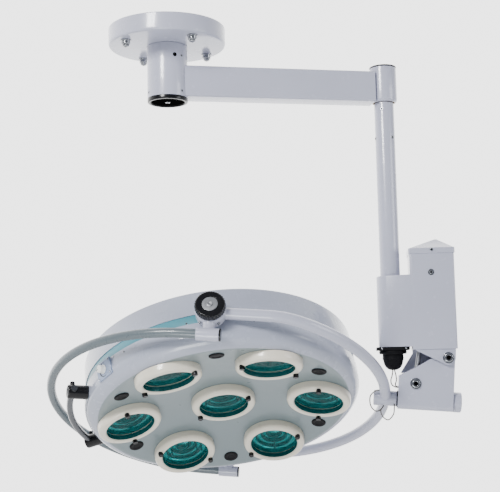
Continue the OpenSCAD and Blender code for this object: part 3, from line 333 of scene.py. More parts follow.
PAINT = finish("lavender_enamel", (0.45, 0.46, 0.56), 0.24, coat=0.5, dirt=0.05, grain=0.12, grain_scale=420)
CHROME = finish("plated_steel", (0.36, 0.37, 0.39), 0.2, metal=1.0, dirt=0.2)
FLANGE_R, FLANGE_LOW, NUT_CIRCLE_R = 145, -44, 117
flange = rounded([[0, 0], [34, 0], [34, -34], [FLANGE_R - 8, -34], [FLANGE_R - 8, 0], [FLANGE_R, 0],
                  [FLANGE_R, FLANGE_LOW], [0, FLANGE_LOW]], [0, 1, 4, 4, 1, 2, 6, 0])
piece("ceiling_flange_v", [revolve(flange, 160).turned()], PAINT, "ceiling", ["ceiling_flange"])
dome = revolve(rounded([[0, -0.5], [13, -0.5], [13, 2.5], [10.8, 2.8], [10.6, 10.5], [9.2, 11], [7.5, 16],
                        [0, 19.3]], [0, 0.5, 0.8, 0.5, 1, 1, 4, 0]), 30)
nuts = [dome.at(turn(2, 24.5 + 90 * k) @ shift(NUT_CIRCLE_R, 0, FLANGE_LOW) @ turn(0, 180))
        for k in range(4)]
piece("flange_nuts_v", nuts, CHROME, "ceiling", ["flange_nuts"])

# === Swivel column ===
# Enamelled steel tube that turns on the ceiling spindle, with a lock hole and grub
# screws. A moulded black cap closes it below, with one screw in its sunk floor.
SOCKET_SHADES = {}


def hexagonal(shape):
    """Radii divided by cos of the angle from the nearest flat's middle, so a circle becomes a hexagon."""
    x, y = shape.points[:, 0], shape.points[:, 1]
    k = np.cos(np.pi / 6) / np.cos((np.arctan2(y, x) % (np.pi / 3)) - np.pi / 6)
    return Shape(np.column_stack([x * k, y * k, shape.points[:, 2]]), shape.corners, shape.sizes)


def hex_socket_shade(frame4, body, r, z):
    """Painted shade in a screw's hexagonal socket: a thin black disc at height z, kept for the body's
    one piece of socket shades."""
    shade_disc = hexagonal(revolve([[0, z], [r * 1.05, z], [r * 1.05, z + 0.12], [0, z + 0.12]], 24))
    SOCKET_SHADES.setdefault(body, []).append(shade_disc.at(frame4))


def screw_head(r, h, hex_r):
    """Socket screw head on z = 0: a rounded disc whose middle sinks into a hexagonal recess."""
    rim = hex_r * 1.12
    shape = revolve(rounded([[0.0, 0], [r, 0], [r, h], [rim, h], [rim, h * 0.45], [0.0, h * 0.4]],
                            [0, 0.1, h * 0.3, 0.3, 0.2, 0], n=4), 48)
    x, y, z = shape.points.T
    inside = (np.hypot(x, y) <= hex_r * 1.13) & (z > h * 0.1)
    shape.points[inside] = hexagonal(shape).points[inside]
    return shape


BLACK = finish("black_plastic", (0.003, 0.003, 0.004), 0.2, shine=0.35, dirt=-0.6, grain=0.1,
               grain_scale=700)
# Matt black that is painted shade: it fills holes, recesses and screw sockets.
SHADE_BLACK = finish("painted_shade_black", (0.002, 0.002, 0.002), 0.8, shine=0.0)
COLUMN_R, COLUMN_IN_R, COLUMN_LOW = 50, 45, -176
column = rounded([[COLUMN_IN_R, COLUMN_LOW], [COLUMN_IN_R, -44.5], [COLUMN_R, -44.5], [COLUMN_R, COLUMN_LOW],
                  [COLUMN_IN_R, COLUMN_LOW]], [0, 1, 1.2, 1, 0])
piece("column_tube_v", [revolve(column, 96).turned()], PAINT, "arm", ["column_tube"])
cap = rounded([[0, -183], [43, -183], [43, -186], [COLUMN_R, -186], [COLUMN_R, COLUMN_LOW],
               [COLUMN_IN_R, COLUMN_LOW], [COLUMN_IN_R, -170], [0, -170]], [0, 1, 1, 2.5, 0.6, 0.5, 1, 0])
piece("column_cap_v", [revolve(cap, 96)], BLACK, "arm", ["column_cap"])
# A matt black disc under the cap's sunk floor is painted shade in its recess.
piece("column_cap_shade", [revolve([[0, -183.4], [42, -183.4], [42, -183], [0, -183]], 64)], SHADE_BLACK, "arm")
grub_frames = [turn(2, a) @ shift(49.2, 0, z) @ turn(1, 90)
               for a, z in ((-52, -75.5), (-52, -164), (-165, -164))]
# Each grub screw's socket gets a black disc of painted shade.
for grub in grub_frames:
    hex_socket_shade(grub, "arm", 2.0, 1.0)
screws = [screw_head(3.2, 1.6, 1.7).at(grub) for grub in grub_frames]
screws.append(screw_head(6, 2.4, 3).at(shift(0, 0, -183.2) @ turn(0, 180)))
piece("column_screws_v", screws, CHROME, "arm", ["column_screws"])
# The lock hole is a matt black disc: painted shade where the hole is.
lock_hole_shade = rounded([[0, -2], [5.0, -2], [5.0, 0.7], [4.5, 0.7], [4.3, 0.4], [0, 0.4]],
                    [0, 0, 0.1, 0.1, 0.1, 0])
piece("lock_hole_v", [revolve(lock_hole_shade, 32).at(turn(2, -75) @ shift(49.75, 0, -75.5) @ turn(1, 90))], SHADE_BLACK,
      "arm")


# === Horizontal arm ===
# Welded box section from the column to the outer hub, its long edges rounded and its welds
# dressed flat before enamelling. The turned hub takes the drop tube's spigot and has a black cap.
def prism(outline, z0, z1, edge=2.0, steps=4, edge_low=None):
    """Solid on a counter-clockwise outline; near an end it shrinks by e (1 - sin t) as z nears it
    by e (1 - cos t)."""
    p = np.asarray(outline, float)
    d = np.roll(p, -1, 0) - np.roll(p, 1, 0)
    outward = np.stack([d[:, 1], -d[:, 0]], 1)
    outward /= np.maximum(np.linalg.norm(outward, axis=1), 1e-9)[:, None]
    low = edge if edge_low is None else edge_low
    t = np.linspace(0, np.pi / 2, steps + 1)
    away_by, in_by = 1 - np.cos(t), 1 - np.sin(t)
    foot = np.column_stack([z0 + low * away_by, low * in_by]) if low > 0 else [[z0, 0]]
    head = np.column_stack([z1 - edge * away_by, edge * in_by])[::-1] if edge > 0 else [[z1, 0]]
    z, inset = np.vstack([foot, head]).T
    flat = p[None] - outward[None] * inset[:, None, None]
    return skin(np.concatenate([flat, np.broadcast_to(z[:, None, None], (len(z), len(p), 1))], 2))


def box_outline(x0, x1, y0, y1, r):
    """Rounded rectangle, counter-clockwise."""
    return rounded([[x0, y0], [x1, y0], [x1, y1], [x0, y1]], r, closed=True)


ALONG_X = np.array([[0, 0, 1, 0], [1, 0, 0, 0], [0, 1, 0, 0], [0, 0, 0, 1.0]])
piece("arm_beam_v", [prism(box_outline(-30, 30, -174, -96, 5), 40, 528, 0).at(ALONG_X)], PAINT, "arm",
      ["arm_beam"])
hub = rounded([[0, -173], [34, -173], [34, -82], [0, -82]], [0, 7, 1.2, 0], n=9)
piece("outer_hub_v", [revolve(hub, 80).at(HUB)], PAINT, "arm", ["outer_hub"])
hub_top = rounded([[0, -82], [34.6, -82], [34.6, -78], [0, -78]], [0, 1, 2, 0])
piece("hub_cap_v", [revolve(hub_top, 80).at(HUB)], BLACK, "arm", ["hub_cap"])

# === Drop tube ===
# Drawn steel tube, enamelled, which slides over the spigot that hangs
# in the outer hub. Three socket screws near its top hold it there.
TUBE_R, TUBE_TOP, TUBE_LOW = 25, -173.5, -789.5
tube = rounded([[22, TUBE_LOW], [TUBE_R, TUBE_LOW], [TUBE_R, TUBE_TOP], [22, TUBE_TOP], [22, TUBE_LOW]],
               [0, 0.6, 1, 1, 0])
piece("drop_tube_v", [revolve(tube, 64).at(DROP)], PAINT, "drop", ["drop_tube"])
tube_frames = [DROP @ turn(2, a) @ shift(24.4, 0, z) @ turn(1, 90)
               for a, z in ((-105, -192.5), (-45, -265.5), (-165, -265.5))]
# Each tube screw's socket gets a black disc of painted shade.
for spot in tube_frames:
    hex_socket_shade(spot, "drop", 2.3, 1.0)
piece("tube_screws_v", [screw_head(4.2, 1.6, 2.1).at(spot) for spot in tube_frames], CHROME, "drop",
      ["tube_screws"])

# === Balance box ===
# Folded and welded steel cover: a low part wraps the tube, a tall part holds the balance spring,
# and a lid with a low peak closes it. Screws in its sides hold it to the bracket inside.
BOX_HALF, BOX_END, BOX_START, WRAP_R, FLAT_FROM = 46, 157, 47, 35, 52
away = np.hypot(FLAT_FROM, BOX_HALF)
tangent_a = np.arctan2(BOX_HALF, FLAT_FROM) + np.arccos(WRAP_R / away)
wrap_a = np.linspace(tangent_a, 2 * np.pi - tangent_a, 26)
wrap = WRAP_R * np.column_stack([np.cos(wrap_a), np.sin(wrap_a)])
seam_end = [[FLAT_FROM, -BOX_HALF], [54, -45.7], [54, 45.7], [FLAT_FROM, BOX_HALF]]
low_part = prism(np.vstack([wrap, seam_end]), -797.5, -619.5, 3.0, edge_low=0.6)
tall_part = prism(box_outline(BOX_START, BOX_END, -BOX_HALF, BOX_HALF, 5), -805.5, -560, 0.5, edge_low=0.6)
piece("balance_cover_v", [low_part.at(DROP), tall_part.at(DROP)], PAINT, "drop", ["balance_cover"])


def peaked(outline, z0, z1, peak, top):
    """Lid: a rim from z0 to z1, then a slope from each outline point to the nearest point of a
    small flat top."""
    rim = prism(outline, z0, z1, 1.0)
    m = len(outline)
    base = len(rim.points) - m
    x, y = rim.points[base:, :2].T
    flat_top = np.column_stack([np.clip(x, *top[:2]), np.clip(y, *top[2:])])
    points = np.vstack([rim.points, np.column_stack([flat_top, np.full(m, peak)])])
    k = np.arange(m)
    n = (k + 1) % m
    slopes = np.stack([base + k, base + n, base + m + n, base + m + k], 1)
    corners = np.concatenate([rim.corners[:-m], slopes.reshape(-1), base + m + k])
    return Shape(points, corners, np.concatenate([rim.sizes[:-1], np.full(m, 4), [m]]))


lid = peaked(box_outline(BOX_START - 2, BOX_END + 2, -BOX_HALF - 2, BOX_HALF + 2, 5), -568.5, -554.5, -530,
             (113, 118, -9, 9))
piece("balance_lid_v", [lid.at(DROP)], PAINT, "drop", ["balance_lid"], sharp=20)


def on_side(host, x, y, z):
    """Frame on a flat side of a box, its Z pointing out of the side: towards -Y where y is
    negative, else +Y."""
    return host @ shift(x, y, z) @ turn(0, 90 if y < 0 else -90)


washer = revolve(rounded([[0, 0], [8, 0], [8, 1], [0, 1]], [0, 0.1, 0.5, 0]), 40)
cover_screws = [screw_head(4, 2.5, 1.9).at(on_side(DROP, 102, y, -559.5)) for y in (-48, 48)]
# The cover screws' sockets get black discs of painted shade.
for y in (-46, 46):
    spot = on_side(DROP, 99, y, -615.5)
    cover_screws += [washer.at(spot), screw_head(5, 3, 2.2).at(spot @ shift(0, 0, 1))]
    hex_socket_shade(spot @ shift(0, 0, 1), "drop", 2.2, 1.4)
hex_socket_shade(on_side(DROP, 102, -48, -559.5), "drop", 1.9, 1.2)
piece("cover_screws_v", cover_screws, CHROME, "drop", ["cover_screws"])

# === Cheeks and main pivot ===
# Enamelled steel side plates that come down out of the cover. The main pivot bolt
# goes through them, with a washer and a socket head in front and a nut behind.
PIVOT_X, PIVOT_Z, CHEEK_OUT = 133, -827.5, 42.5
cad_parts["balance_bracket"].data.materials.clear()
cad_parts["balance_bracket"].data.materials.append(PAINT)


def bolt(spot, r, h, washer_r):
    """Washer and socket head stacked along the frame's Z."""
    disc = revolve(rounded([[0, 0], [washer_r, 0], [washer_r, 2], [0, 2]], [0, 0.1, 0.7, 0]), 48)
    return [disc.at(spot), screw_head(r, h, r * 0.52).at(spot @ shift(0, 0, 2))]


def nut(spot, r, h):
    """Hexagonal nut with a rounded crown on the frame's Z, past the washer."""
    round_nut = revolve(rounded([[0, 0], [r, 0], [r, h], [0, h]], [0, 0.1, 1.2, 0]), 48)
    return [hexagonal(round_nut).at(spot @ shift(0, 0, 2))]


front_end, back_end = on_side(DROP, PIVOT_X, -CHEEK_OUT, PIVOT_Z), on_side(DROP, PIVOT_X, CHEEK_OUT, PIVOT_Z)
# The pivot bolt's socket gets a black disc of painted shade.
hex_socket_shade(front_end @ shift(0, 0, 2), "drop", 5.7, 3.8)
piece("pivot_bolt_v", bolt(front_end, 11, 8, 14) + bolt(back_end, 3, 1, 14) + nut(back_end, 13, 9), CHROME,
      "drop", ["pivot_bolt"])

# === Cable boot ===
# Moulded rubber boot that closes the drop tube's lower end and lets
# the leads out: a screwed plate, two ribbed steps and a rounded spout.
RUBBER = finish("moulded_rubber", (0.004, 0.004, 0.005), 0.5, shine=0.12, dirt=-0.8, grain=0.35,
                grain_scale=900)
spout_a = np.linspace(0, np.pi / 2, 14)
spout = np.column_stack([4 + 20.5 * np.cos(spout_a), -830.5 - 24 * np.sin(spout_a)])
steps_down = rounded([[0, -800], [34, -800], [34, -814.5], [26, -815], [26, -830.5], spout[0]],
                     [0, 1, 2, 1, 2, 0])
boot = np.vstack([steps_down, spout[1:], [[0, BOOT_TIP]]])
boot_parts = [prism(box_outline(-41, 41, -37, 37, 8), -805.5, -797.5, 1.5).at(DROP),
              revolve(boot[::-1], 64).at(DROP)]
for r, z in ((34, -810), (26, -824)):
    rib = rounded([[r - 3, -1.6], [r + 0.9, -1.6], [r + 0.9, 1.6], [r - 3, 1.6], [r - 3, -1.6]],
                  [0, 1.2, 1.2, 0, 0])
    boot_parts.append(revolve(rib, 56).at(DROP @ shift(0, 0, z)))
piece("cable_boot_v", boot_parts, RUBBER, "drop", ["cable_boot"])
piece("boot_screws_v", [screw_head(2.6, 1.4, 1.2).at(on_side(DROP, x, -37, -801.5)) for x in (-28, 31)],
      CHROME, "drop")

# === Lift housing ===
# Enamelled steel housing that hangs on the main pivot and carries the yoke shaft; its lower edge is
# rolled round the shaft. The spring rod's pin goes through it, and a rubber ring seals the shaft.
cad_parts["lift_housing"].data.materials.clear()
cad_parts["lift_housing"].data.materials.append(PAINT)
pin_front, pin_back = on_side(LIFT, -76, -31, -68), on_side(LIFT, -76, 31, -68)
# The rod pin's socket gets a black disc of painted shade.
hex_socket_shade(pin_front @ shift(0, 0, 2), "lift", 5.4, 3.3)
piece("rod_pin_v", bolt(pin_front, 10.5, 7, 14) + bolt(pin_back, 3, 1, 14) + nut(pin_back, 12, 7), CHROME,
      "lift", ["rod_pin"])
seal = rounded([[12.1, -119.8], [20.5, -119.8], [20.5, -118], [12.1, -118], [12.1, -119.8]],
               [0, 0.6, 0.6, 0, 0])
piece("shaft_seal_v", [revolve(seal, 56).at(LIFT @ shift(0, 0, -108) @ turn(1, 90))], RUBBER, "lift",
      ["shaft_seal"])

# === Yoke ===
# One bent steel tube in a C, welded through a turned hub on the shaft's near
# end. A clamp cap closes the far end of the shaft, and everything is enamelled.
YOKE_X = YOKE @ turn(1, 90)
end_cap = rounded([[0, 577.8], [25, 577.8], [25, 597.8], [0, 597.8]], [0, 1, 4, 0])
piece("shaft_end_cap_v", [revolve(end_cap, 64).at(YOKE_X)], PAINT, "yoke", ["shaft_end_cap"])
hub_profile = rounded([[0, 381.5], [19, 381.5], [19, 438.5], [0, 438.5]], [0, 3, 2, 0])
piece("yoke_hub_v", [revolve(hub_profile, 56).at(YOKE_X)], PAINT, "yoke", ["yoke_hub"])
YOKE_REACH, ARM_Y, BEND_R, MAIN_A = 410, 362.0, 140.0, np.radians(64)
main_r = BEND_R + (ARM_Y - BEND_R) / np.sin(MAIN_A)
main_x = YOKE_REACH - main_r
bend_x, bend_y = main_x + (main_r - BEND_R) * np.cos(MAIN_A), ARM_Y - BEND_R
straight = np.linspace(19, bend_x, 8, endpoint=False)
bend_a = np.linspace(np.pi / 2, MAIN_A, 14, endpoint=False)
main_a = np.linspace(MAIN_A, 0, 48)
half_line = np.vstack([
    np.column_stack([straight, np.full(8, ARM_Y)]),
    np.column_stack([bend_x + BEND_R * np.cos(bend_a), bend_y + BEND_R * np.sin(bend_a)]),
    np.column_stack([main_x + main_r * np.cos(main_a), main_r * np.sin(main_a)]),
])
half_line = np.column_stack([half_line, np.zeros(len(half_line))])
yoke_line = np.vstack([half_line, (half_line * [1, -1, 1])[-2::-1]])
piece("yoke_tube_v", [sweep(moved(YOKE, yoke_line), 13.5, 36)], PAINT, "yoke", ["yoke_tube"])

# === Guard ring ===
# Half ring of thinner steel tube in grey enamel, below the tilt axis. It runs from knuckle
# to knuckle round the handle's side, and is the rail that a hand moves the lamp by.
RING_PAINT = finish("ring_enamel", (0.105, 0.13, 0.145), 0.28, coat=0.2, dirt=0.08, grain=0.04,
                    grain_scale=500)
RING_Y, RING_Z, RING_X, SLEEVE_END = 372, -62.5, -49, 26
ring_a = np.linspace(0, np.pi, 90)
entry = np.linspace(SLEEVE_END, RING_X, 8, endpoint=False)
leave = np.linspace(RING_X, SLEEVE_END, 9)[1:]
ring_line = np.vstack([
    np.column_stack([entry, np.full(8, -RING_Y)]),
    np.column_stack([RING_X - RING_Y * np.sin(ring_a), -RING_Y * np.cos(ring_a)]),
    np.column_stack([leave, np.full(8, RING_Y)]),
])
ring_line = np.column_stack([ring_line, np.full(len(ring_line), RING_Z)])
piece("guard_ring_v", [sweep(moved(YOKE, ring_line), 11, 32)], RING_PAINT, "yoke", ["guard_ring"])

# === Knuckles ===
# Castings on the yoke's ends: a round boss on the tilt axis, a neck, and a cross sleeve for the
# guard ring, all enamelled. Black plugs close the ring's ends and two socket screws lock each boss.
boss = rounded([[0, 354], [36, 354], [36, 382], [0, 382]], [0, 3, 3.5, 0])
sleeve = rounded([[10.5, -26], [14.6, -26], [14.6, 26], [10.5, 26], [10.5, -26]], [0, 1.2, 1.2, 0, 0])
neck_h = np.linspace(2, 36, 9)
neck_r = 14 + 5 * np.clip((neck_h - 22) / 14, 0, 1) ** 2
neck_line = np.column_stack([np.zeros(9), neck_h - 62.5, np.full(9, 368)])
knuckle = [revolve(boss, 72), sweep(neck_line, neck_r, 32),
           revolve(sleeve, 44).at(shift(0, -62.5, 372) @ turn(1, 90))]
ENDS = {"near": YOKE @ turn(0, 90), "far": YOKE @ np.diag([1, -1, 1, 1.0]) @ turn(0, 90)}


def on_end(tag, shape):
    """A shape put on the near or far end; the far frame is mirrored, so its faces are turned back."""
    return shape.at(ENDS[tag]) if tag == "near" else shape.at(ENDS[tag]).turned()


for tag in ENDS:
    piece("knuckle_" + tag + "_v", [on_end(tag, part) for part in knuckle], PAINT, "yoke",
          ["knuckle_" + tag])
plug = revolve(rounded([[0, 26], [14.4, 26], [14.4, 30], [0, 30]], [0, 0.5, 1.6, 0]), 40)
piece("ring_plugs_v", [plug.at(YOKE @ shift(0, s * RING_Y, RING_Z) @ turn(1, 90)) for s in (-1, 1)], BLACK,
      "yoke", ["ring_plugs"])
boss_screws = [screw_head(4, 3.2, 1.8).at(YOKE @ shift(0, s * 368, 0) @ turn(1, 180 + a) @ shift(0, 0, 36))
               for s in (-1, 1) for a in (-35, 35)]
piece("knuckle_screws_v", boss_screws, CHROME, "yoke", ["knuckle_screws"])


# === Brake knobs ===
# Moulded black knobs with a fluted rim, which clamp the tilt pins.
# Each face is sunk and holds a bright turned disc with its screw.
def fluted(profile, n, count, depth):
    """Revolved profile whose rim dips by depth |sin(count u / 2)|^0.6 where the profile is near its
    widest."""
    shape = revolve(profile, n)
    x, y = shape.points[:, 0], shape.points[:, 1]
    r = np.hypot(x, y)
    wide = np.clip((r - r.max() * 0.93) / (r.max() * 0.06), 0, 1)
    dip = depth * wide * np.abs(np.sin(count * np.arctan2(y, x) / 2)) ** 0.6
    shape.points[:, :2] *= (1 - dip / np.maximum(r, 1e-6))[:, None]
    return shape


STEEL = finish("machined_steel", (0.42, 0.43, 0.45), 0.34, metal=1.0, dirt=0.2, grain=0.2, grain_scale=1500)
KNOB_R, KNOB_IN, KNOB_OUT, KNOB_FACE = 35.5, 382.5, 401.5, 399.6
knob = rounded([[0, KNOB_IN], [33, KNOB_IN], [KNOB_R, 384.5], [KNOB_R, KNOB_FACE - 0.1], [31, KNOB_OUT],
                [19, KNOB_OUT], [19, KNOB_FACE], [0, KNOB_FACE]], [0, 1, 1.5, 2.5, 2, 0.8, 0.6, 0])
disc = rounded([[0, KNOB_FACE], [18, KNOB_FACE], [18, 401], [0, 401]], [0, 0.1, 0.8, 0])
for tag in ENDS:
    piece("brake_knob_" + tag + "_v", [on_end(tag, fluted(knob, 288, 36, 1.5))], BLACK, "brake_" + tag,
          ["brake_knob_" + tag])
    trim = [on_end(tag, revolve(disc, 48)), on_end(tag, screw_head(7, 2.4, 3.4).at(shift(0, 0, 401)))]
    piece("knob_disc_" + tag, trim, STEEL, "brake_" + tag)

# === Lamp head: shells ===
# Spun steel shells: a drum with a low crown behind, a blue-green seam band, and a front with a rolled
# edge and a dished face. The face is a greener grey than the shell and has a hole for each lamp unit.
SHELL = finish("shell_enamel", (0.37, 0.395, 0.48), 0.25, coat=0.6, dirt=0.06, grain=0.12, grain_scale=380)
FACE = finish("face_enamel", (0.17, 0.215, 0.23), 0.32, coat=0.35, dirt=0.05, grain=0.15, grain_scale=420)
BAND = finish("band_enamel", (0.05, 0.24, 0.30), 0.35, coat=0.3, tint=(0.04, 0.19, 0.25))
HEAD = YOKE @ turn(1, -12)
SHELL_R, DRUM_R, BAND_TOP, BAND_LOW, CROWN_H = 344, 341, 14.9, -9.1, 20
DISH_R, DISH_EDGE, FRONT_LOW = 1200.0, 310, -70.12
DISH_Z = FRONT_LOW - np.sqrt(DISH_R**2 - DISH_EDGE**2)
LENS_CIRCLE_R = 240


def on_dish(r, a):
    """Frame on the dished face at radius r, a degrees from the near end towards the handle, its Z
    into the head."""
    lean = np.degrees(np.arcsin(r / DISH_R))
    return HEAD @ shift(0, 0, DISH_Z) @ turn(2, -a - 90) @ turn(1, lean) @ shift(0, 0, DISH_R)


LENSES = [on_dish(0, 30)] + [on_dish(LENS_CIRCLE_R, 30 + 60 * k) for k in range(6)]
crown_r = (DRUM_R**2 + CROWN_H**2) / (2 * CROWN_H)
crown_a = np.linspace(0, np.arcsin(333 / crown_r), 20)
crown = np.column_stack([crown_r * np.sin(crown_a), 94.88 - crown_r + crown_r * np.cos(crown_a)])
back_side = rounded([[DRUM_R, 15.0], [DRUM_R, 75.5], crown[-1]], [0, 7, 0])[1:]
back = np.vstack([[[337.5, BAND_TOP], [DRUM_R, BAND_TOP]], back_side, crown[-2::-1]])
piece("back_shell_v", [revolve(back, 200).at(HEAD)], SHELL, "head", ["back_shell"])
band = rounded([[337, BAND_LOW], [339, BAND_LOW], [339, BAND_TOP], [337, BAND_TOP], [337, BAND_LOW]],
               [0, 0.2, 0.2, 0, 0])
piece("seam_band_v", [revolve(band, 200).at(HEAD)], BAND, "head", ["seam_band"])
# side, then the rolled edge of radius 34, then the dish z = DISH_Z + sqrt(R^2 - r^2) to its middle
roll_a = np.linspace(0.08, np.pi / 2 - 0.1, 14)
dish_r = np.linspace(306, 2, 96)
section = np.vstack([
    [[338.5, BAND_LOW], [343, BAND_LOW], [SHELL_R, -10.1], [SHELL_R, -22], [SHELL_R, -36.1]],
    np.column_stack([DISH_EDGE + 34 * np.cos(roll_a), -36.12 - 34 * np.sin(roll_a)]),
    np.column_stack([dish_r, DISH_Z + np.sqrt(DISH_R**2 - dish_r**2)]),
    [[0, DISH_Z + DISH_R]],
])
shell = revolve(section, 360)
hole_a = np.radians(30 + 60 * np.arange(6))
holes = np.vstack([-LENS_CIRCLE_R * np.column_stack([np.sin(hole_a), np.cos(hole_a)]), [[0, 0]]])
mid = shell.centres()[:, :2]
in_hole = (np.linalg.norm(mid[:, None] - holes[None], axis=2) < 68).any(1)
from_axis = np.hypot(*mid.T)
solid = ~((from_axis < 312) & in_hole)
front = piece("front_shell_v", [shell.kept(solid).at(HEAD)], (SHELL, FACE), "head", ["front_shell"])
front.data.polygons.foreach_set("material_index", (from_axis[solid] < 311).astype(np.int32))

# === Bezels ===
# Cream moulded rings that stand on the dished face and hold the
# glasses; their outer edge is broad and round.
CREAM = finish("cream_plastic", (0.74, 0.685, 0.565), 0.3, coat=0.4, dirt=0.05)
bezel = rounded([[62, 5], [62, -7], [61, -8], [61, -25], [80, -25], [80, -2.7], [65, -1.8], [65, 5],
                 [62, 5]], [0, 0.5, 0.5, 5, 13, 1, 0.4, 0.4, 0], n=9)
piece("bezels_v", [revolve(bezel, 88).at(m).turned() for m in LENSES], CREAM, "head", ["bezels"])

# === Lamp units ===
# Behind each tinted heat-filter glass are a spun reflector, bright with a painted teal glow, three stacked
# louvre rings on posts, and a halogen capsule in a ceramic socket. Dark clip rings line the bezel before and
# behind the glass.
GLASS = finish("filter_glass", (0.0, 0.20, 0.20), 0.06, dirt=0.1, alpha=0.15, shine=0.4)
# The reflectors glow faintly teal: painted light, since they are not lamps.
MIRROR = finish("reflector_painted_glow", (0.10, 0.50, 0.50), 0.2, metal=1.0, dirt=0.1, grain=0.2, grain_scale=120,
                painted_glow=(0.01, 0.20, 0.20))
RIM = finish("filter_rim", (0.0, 0.085, 0.09), 0.25, metal=0.3, dirt=0.2)
BULB = finish("bulb_glass", (0.8, 0.85, 0.8), 0.1, coat=0.6, dirt=0.02)
LOUVRE = finish("louvre_metal", (0.001, 0.010, 0.012), 0.4, dirt=0.1, shine=0.2)
glass = rounded([[0, -11], [62.8, -11], [62.8, -7], [0, -7]], [0, 0.3, 0.3, 0])
piece("filter_glasses_v", [revolve(glass, 64).at(m) for m in LENSES], GLASS, "head", ["filter_glasses"])
front_clip = rounded([[59.2, -11.2], [60.9, -11.2], [60.9, -22.5], [60.2, -22.5], [59.2, -11.2]],
                     [0, 0.2, 0.3, 0.3, 0], n=3)
back_clip = rounded([[60.4, 5.9], [61.8, 5.9], [61.8, -6.8], [60.4, -6.8], [60.4, 5.9]],
                    [0, 0.2, 0.2, 0.2, 0], n=3)
piece("filter_rims", [revolve(p, 64).at(m).turned() for m in LENSES for p in (front_clip, back_clip)], RIM,
      "head")
bowl_a = np.linspace(0, 1.34, 22)
bowl_in = np.column_stack([62 * np.cos(bowl_a), 6 + 62 * np.sin(bowl_a)])
bowl_out = bowl_in[::-1] * [0.975, 1] + [2.0, 0.8]
bowl = np.vstack([[[64.5, 8], [64.5, 6]], bowl_in, bowl_out])
piece("reflectors_v", [revolve(bowl, 64).at(m).turned() for m in LENSES], MIRROR, "head", ["reflectors"])
socket = rounded([[0, 60], [14, 60], [14, 84], [0, 84]], [0, 2, 2, 0])
piece("lamp_sockets_v", [revolve(socket, 28).at(m) for m in LENSES], CREAM, "head", ["lamp_sockets"])
tip_a = np.linspace(0.3, np.pi / 2, 8)
capsule = np.vstack([[[0, 28]], np.column_stack([6 * np.sin(tip_a), 34 - 6 * np.cos(tip_a)]),
                     [[6, 60], [0, 60]]])
piece("bulbs_v", [revolve(capsule, 24).at(m) for m in LENSES], BULB, "head", ["bulbs"])
louvre_parts = []
for r, z0, z1 in ((18, 12, 26), (31, 7, 18), (45, 1, 11)):
    ring = [[r, z0], [r + 3.4, z0], [r + 3.4, z0 + 1.2], [r + 1.2, z0 + 1.2], [r + 1.2, z1], [r, z1],
            [r, z0]]
    louvre_parts.append(revolve(ring, 48))
post = revolve(rounded([[0, -1], [2.2, -1], [2.2, 22], [0, 22]], [0, 0.8, 0.8, 0]), 12)
louvre_parts += [post.at(turn(2, 120 * k + 30) @ shift(r, 0, 0)) for k in range(3) for r in (39, 52)]
piece("louvre_rings", [part.at(m) for m in LENSES for part in louvre_parts], LOUVRE, "head")

# === Thumb screws and plugs ===
# Fourteen knurled black screws hold the bezels, and six rubber plugs close the holes between the lamp units.
thumb = fluted(rounded([[0, -23.2], [6.1, -23.2], [6.5, -24], [6.5, -33], [5.6, -34], [0, -33.4]],
                       [0, 0.2, 0.5, 1, 0.8, 0]), 60, 18, 0.5).turned()
piece("thumb_screws_v", [thumb.at(m @ shift(0, s * 72, 0)) for m in LENSES for s in (-1, 1)], BLACK, "head",
      ["thumb_screws"])
vent_plug = revolve(rounded([[0, 4], [14.3, 4], [14.3, -0.1], [18.5, -0.2], [18.5, -2.0], [16.5, -3.4],
                             [11, -3.2], [9.5, -2.2], [0, -2.2]], [0, 0.4, 0.1, 0.2, 0.7, 1, 0.6, 0.5, 0]),
                    56).turned()
piece("vent_plugs_v", [vent_plug.at(on_dish(275, 60 * k)) for k in range(6)], RUBBER, "head", ["vent_plugs"])

# === Handle ===
# Two moulded black clamps are screwed to the front shell's side and hold a bent
# dark steel tube. A small fluted knob on each clamp lets the tube out for cleaning.
HANDLE = finish("dark_steel", (0.10, 0.105, 0.115), 0.28, metal=0.8, coat=0.3, dirt=0.2)
BAR_ARC_R, BAR_Z, BRACKET_A = 380.0, -32.1, 21
bar_a = np.radians(np.linspace(156, 204, 40))
bar = np.column_stack([BAR_ARC_R * np.cos(bar_a), BAR_ARC_R * np.sin(bar_a), np.full(40, BAR_Z)])
piece("handle_bar_v", [sweep(moved(HEAD, bar), 8, 24)], HANDLE, "head", ["handle_bar"])
clamp = revolve(rounded([[0, 342.4], [15.5, 342.4], [17, 345], [17, 391], [14, 393], [0, 393]],
                        [0, 0.5, 1.5, 2, 2, 0]), 40)
clamp_knob = fluted(rounded([[0, 0], [3.4, 0], [3.4, 3], [6, 3.4], [6, 11], [0, 11]],
                            [0, 0, 0.4, 0.8, 1.5, 0]), 40, 14, 0.5)
brackets = []
for a in (-BRACKET_A, BRACKET_A):
    spot = HEAD @ turn(2, 180 + a) @ shift(0, 0, BAR_Z)
    brackets += [clamp.at(spot @ turn(1, 90)), clamp_knob.at(spot @ shift(BAR_ARC_R, 0, 15))]
piece("handle_brackets_v", brackets, BLACK, "head", ["handle_brackets"])

